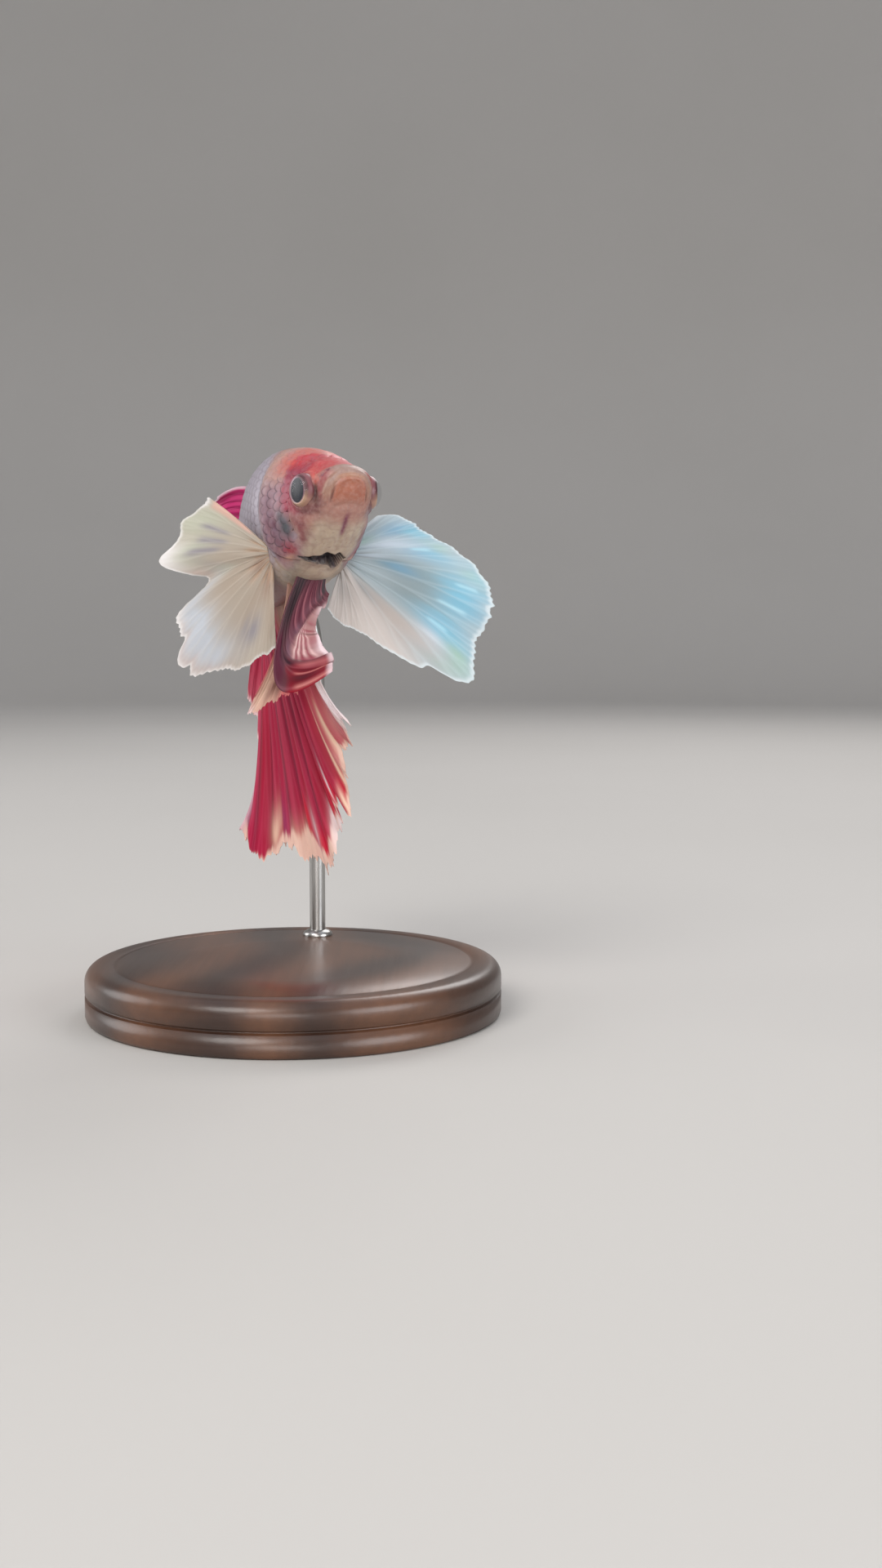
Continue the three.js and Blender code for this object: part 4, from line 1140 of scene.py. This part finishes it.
def skirt_marks(a, t, x, streak):
    fine = 0.5 + 0.5 * noise(x * 2.7, t * 0.7, 6.5, 2)
    wa, wt = a + 0.012 * streak, t + 0.05 * streak
    soft = partial(patches, wa, wt)
    fringe = across([
        0.35, 0.55, 0.94, 0.95, 0.93, 0.96, 0.95, 0.97, 0.96, 0.9, 0.88,
        0.9, 0.88, 0.84, 0.9, 0.98, 0.95, 0.99, 0.98, 0.95, 0.9,
    ])(a)
    # The maroon is painted shade: the pleats' valleys are darker. This repeats the skirt's pleats in FINS.
    valley_shade = 0.5 - 0.5 * np.cos(TAU * (x * 0.75 + 0.35 * noise(a * 6, t * 1.2, 16)))
    lines = bell(a - 0.285 - 0.01 * t, 0.006) + bell(a - 0.235, 0.004)
    lines = lines + bell(a - 0.325, 0.006) * smooth(0.75, 0.9, t)
    return dict(
        tan=smooth(0.2, 0.1, t) * smooth(0.45, 0.3, a),
        maroon=valley_shade**2 * 0.75 * smooth(0.3, 0.42, a) * (1 - 0.6 * smooth(0.7, 1.0, t)),
        dull=fine**2 * smooth(0.3, 0.45, a) * smooth(0.9, 0.75, t) * 0.5,
        violet=smooth(0.86, 0.97, wa) * 0.75 + soft((0.74, 0.88, 0.03, 0.14, 0.7)),
        rose=smooth(0.36, 0.27, wa) * smooth(0.2, 0.5, wt) * (0.8 + 0.3 * fine),
        crimson=soft((0.465, 0.7, 0.035, 0.22, 1), (0.41, 0.66, 0.02, 0.2, 0.9),
            (0.585, 0.6, 0.02, 0.25, 0.8), (0.833, 0.45, 0.03, 0.3, 0.5)),
        scarlet=soft((0.38, 0.9, 0.03, 0.12, 1), (0.545, 0.86, 0.03, 0.09, 0.9),
            (0.3, 0.92, 0.02, 0.08, 0.8), (0.455, 0.86, 0.02, 0.08, 0.9), (0.63, 0.76, 0.02, 0.1, 0.7)),
        pink=soft((0.25, 0.8, 0.03, 0.28, 0.9), (0.215, 0.9, 0.015, 0.1, 0.6),
            (0.13, 0.75, 0.035, 0.2, 0.8)),
        cream=lines * smooth(0.35, 0.6, t) + 0.9 * bell(a - 0.19, 0.01) * smooth(0.45, 0.65, t)
            + soft((0.795, 0.86, 0.016, 0.12, 0.8), (0.665, 0.92, 0.03, 0.1, 0.8),
            (0.155, 0.98, 0.03, 0.04, 0.9)),
        pale=smooth(fringe - 0.03, fringe + 0.03, wt) * (0.8 + 0.3 * fine),
        white=soft((0.583, 0.77, 0.02, 0.11, 0.9), (0.03, 0.8, 0.045, 0.5, 1),
            (0.44, 0.97, 0.03, 0.06, 0.9), (0.37, 0.82, 0.006, 0.14, 0.8), (0.485, 0.93, 0.015, 0.1, 0.8)),
        edge=smooth(0.965, 0.99, a) * smooth(0.3, 0.5, t) * 0.8,
    )


# The skirt's maroon is painted shade in its pleats' valleys.
SKIRT = ("#b30f3e", dict(
    tan="#a98672", maroon="#5f0324", dull="#dc6c86", violet="#963a68", rose="#cc5560",
    crimson="#a80022", scarlet="#e0152e", pink="#e3a19c", cream="#f7d6bb", pale="#f1cdbc",
    white="#f8ecf0", edge="#d9b4c0",
))


def back_fin_marks(a, t, x, streak):
    return dict(
        violet=smooth(0.3, 0.05, t + 0.08 * streak) * 0.85,
        maroon=(0.5 + 0.5 * np.cos(TAU * x)) * 0.45 * (1 - 0.6 * t),
        rose=smooth(0.6, 0.95, t + 0.15 * streak) * 0.6,
        white=smooth(0.94, 0.985, t + 0.02 * streak) + 0.9 * smooth(0.05, 0.01, a) * smooth(0.2, 0.5, t),
    )


BACK_FIN = ("#cc2474", dict(violet="#5e2f5c", maroon="#a01a58", rose="#dc5a90", white="#efdae4"))
TAIL_FIN = ("#c02c4e", dict(violet="#6a2440", maroon="#861a3a", rose="#d86c80", white="#ecd2d2"))


# ---------- stand ----------

WOOD_EDGE = 1.6
GROOVE_LEVEL = 2.6
GROOVE_HEIGHT = 0.5
GROOVE_DEPTH = 0.35
ROD_AT = np.array([1.5, 16.6, 0])
ROD_PATH = ROD_AT + [[0, 0, 4], [0, 0, 24], [0, 0, 40], [-1, -0.4, 46.5], [-3.2, -0.9, 51]]
ROD_RADIUS = 0.98
COLLAR = ((1.05, -0.3), (1.75, -0.3), (1.85, 0.25), (1.6, 0.55), (1.2, 0.75), (1.0, 0.8))
QUARTER_TURN = np.pi / 2 * np.arange(13) / 12


def wood_shader():
    shader = Shader("stand_wood", Roughness=0.38, Coat_Weight=0.35, Coat_Roughness=0.25)
    warp = shader.noise(25, 2.0)
    x = shader.node("SeparateXYZ", {0: shader.node("TexCoord").outputs["Object"]}).outputs[0]
    grain = shader.math("ADD", shader.math("MULTIPLY", x, 420.0), shader.math("MULTIPLY", warp, 14.0))
    bands = shader.math("ADD", shader.math("MULTIPLY", shader.math("SINE", grain), 0.5), 0.5)
    pores = shader.noise(900, 4.0, (1.0, 0.06, 1.0))
    colour = shader.part_blend(shader.blend("#3a241a", "#6a452f", bands), "#1d120d", pores, 0.55)
    return shader.done(colour, (pores, 0.05))


def steel_shader():
    shader = Shader("stand_metal", Metallic=1.0, Roughness=0.28)
    brushed = shader.noise(2200, 3.0, (1.0, 1.0, 0.04))
    return shader.done(shader.blend("#c9c8c6", "#8f8d8b", brushed), (brushed, 0.01))


def lathe(name, outline, around, centre, material, slot, *nodes):
    """A piece turned about an upright line, closed at both ends."""
    tips = [(*centre, outline[0][1]), (*centre, outline[-1][1])]
    dress(rings(name, turned(outline, around, centre), tips, material), slot, *nodes)


def make_stand():
    low, high = box_mm("stand_base")
    radius, top = (high[0] - low[0]) / 2, high[2]
    groove = [
        (radius - GROOVE_DEPTH * np.sin(np.pi * k / 8), GROOVE_LEVEL + GROOVE_HEIGHT * k / 8)
        for k in range(9)
    ]
    edge = [
        (radius - WOOD_EDGE + WOOD_EDGE * np.cos(b), top - WOOD_EDGE + WOOD_EDGE * np.sin(b))
        for b in QUARTER_TURN
    ]
    outline = [
        (radius - 0.5, 0.0), (radius - 0.15, 0.12), (radius, 0.5), (radius, GROOVE_LEVEL), *groove, *edge,
        (radius - 3.2, top), (radius - 3.45, top - 0.18), (radius - 3.7, top),
        (radius * 0.5, top), (2.0, top),
    ]
    lathe("base_disc", outline, 160, (low + high)[:2] / 2, wood_shader(), "stand_wood", "stand_base")

    steel = steel_shader()
    middle_line = np.stack([across(values)(np.linspace(0, 1, 90)) for values in ROD_PATH.T], -1)
    along = unit(np.gradient(middle_line, axis=0))
    side = unit(np.cross(along, (0, 1.0, 0)))
    spin = turn_of(40)[:, None]
    spokes = np.cos(spin) * side[:, None] + np.sin(spin) * np.cross(along, side)[:, None]
    tube = middle_line[:, None] + ROD_RADIUS * spokes
    dress(rings("support_rod", tube, middle_line[[0, -1]], steel), "stand_metal", "stand_rod")
    lathe("rod_collar", [(r, top + z) for r, z in COLLAR], 48, ROD_AT[:2], steel, "stand_metal")


# ---------- the room ----------

FLOOR_RADIUS = 900
WALL_BEND = 350
WALL_TOP = 1500
LIT_POINT = Vector((0.0, 0.0, 0.045))
# Each light's name, place, size, power and colour.
LIGHTS = (
    ("key", (-0.25, -0.42, 0.45), 0.35, 2.3, (1.0, 0.97, 0.94)),
    ("fill", (0.45, -0.35, 0.16), 0.4, 2.0, (0.94, 0.97, 1.0)),
    ("low", (-0.05, -0.5, 0.06), 0.3, 0.9, (1.0, 0.97, 0.95)),
    ("back", (0.2, 0.5, 0.45), 0.35, 1.3, (1.0, 0.98, 0.97)),
    ("side", (-0.5, 0.1, 0.2), 0.35, 0.9, (1.0, 1.0, 1.0)),
)
SKY_COLOUR = (0.9, 0.93, 1.0, 1)
SKY_STRENGTH = 0.8


def make_room():
    """A pale floor that bends up into a wall on every side."""
    bend = [(FLOOR_RADIUS + WALL_BEND * np.sin(b), WALL_BEND - WALL_BEND * np.cos(b)) for b in QUARTER_TURN]
    points = turned([(0.02, 0.0), *bend, (FLOOR_RADIUS + WALL_BEND, WALL_TOP)], 96)
    shader = Shader("room", Roughness=0.7)
    material = shader.done(shader.vary("#bfbcb8", "#b6b3ae", 6, 0.25))
    build("room", points.reshape(-1, 3), grid_quads(*points.shape[:2], closed=True), material)


def make_lights():
    for name, at, size, watts, colour in LIGHTS:
        data = bpy.data.lights.new(name, "AREA")
        data.shape, data.size, data.energy, data.color = "DISK", size, watts, colour
        lamp = bpy.data.objects.new(name, data)
        lamp.location = at
        lamp.rotation_euler = (LIT_POINT - Vector(at)).to_track_quat("-Z", "Y").to_euler()
        SCENE.collection.objects.link(lamp)
    SCENE.world = bpy.data.worlds.new("world")
    SCENE.world.use_nodes = True
    sky = SCENE.world.node_tree.nodes["Background"]
    sky.inputs["Color"].default_value = SKY_COLOUR
    sky.inputs["Strength"].default_value = SKY_STRENGTH
    SCENE.view_settings.view_transform = "Standard"


# ---------- assembly ----------

FLESH = ("head", "lower_jaw", "gill_cover_right", "gill_cover_left", "trunk", "rear_body", "tail_stem")
# Each fin's node, slot, marks and colours; then its ray and streak colours, the share of light
# that it lets through, and the shares of its rays and streaks.
FIN_LOOKS = (
    ("pectoral_fin_right", "pale_fin", right_pectoral_marks, RIGHT_PECTORAL, "#e6e0d6", "#b9afa4",
        0.3, 0.15, 0.1),
    ("pectoral_fin_left", "pale_fin", left_pectoral_marks, LEFT_PECTORAL, "#e0f0f6", "#a3bac8", 0.3,
        0.2, 0.15),
    ("ventral_fin_left", "red_fin", hook_marks, HOOK, "#b87884", "#3d1824", 0.08, 0.15, 0.3),
    ("ventral_fin_right", "red_fin", spike_marks, SPIKE, "#cfa096", "#8d6156", 0.2, 0.3, 0.3),
    ("dorsal_fin", "red_fin", back_fin_marks, BACK_FIN, "#c65a90", "#8a1a50", 0.25, 0.3, 0.3),
    ("anal_fin", "red_fin", skirt_marks, SKIRT, "#d65a78", "#7a0c34", 0.1, 0.2, 0.3),
    ("caudal_fin", "red_fin", back_fin_marks, TAIL_FIN, "#c85c74", "#84183a", 0.25, 0.3, 0.3),
)

dress(make_skin(), "skin", *FLESH)
dress(make_scales(), "skin")

eye_materials = eye_shader(), cornea_shader()
for eye_side in (1, -1):
    make_eye(eye_side, *eye_materials)

for fin_name, fin_slot, fin_marks, fin_colours, *fin_look in FIN_LOOKS:
    fin_material = fin_shader(fin_name.replace("_fin", ""), *fin_colours, *fin_look)
    make_fin(fin_name, fin_marks, fin_material, fin_slot)

make_stand()
make_room()
make_lights()
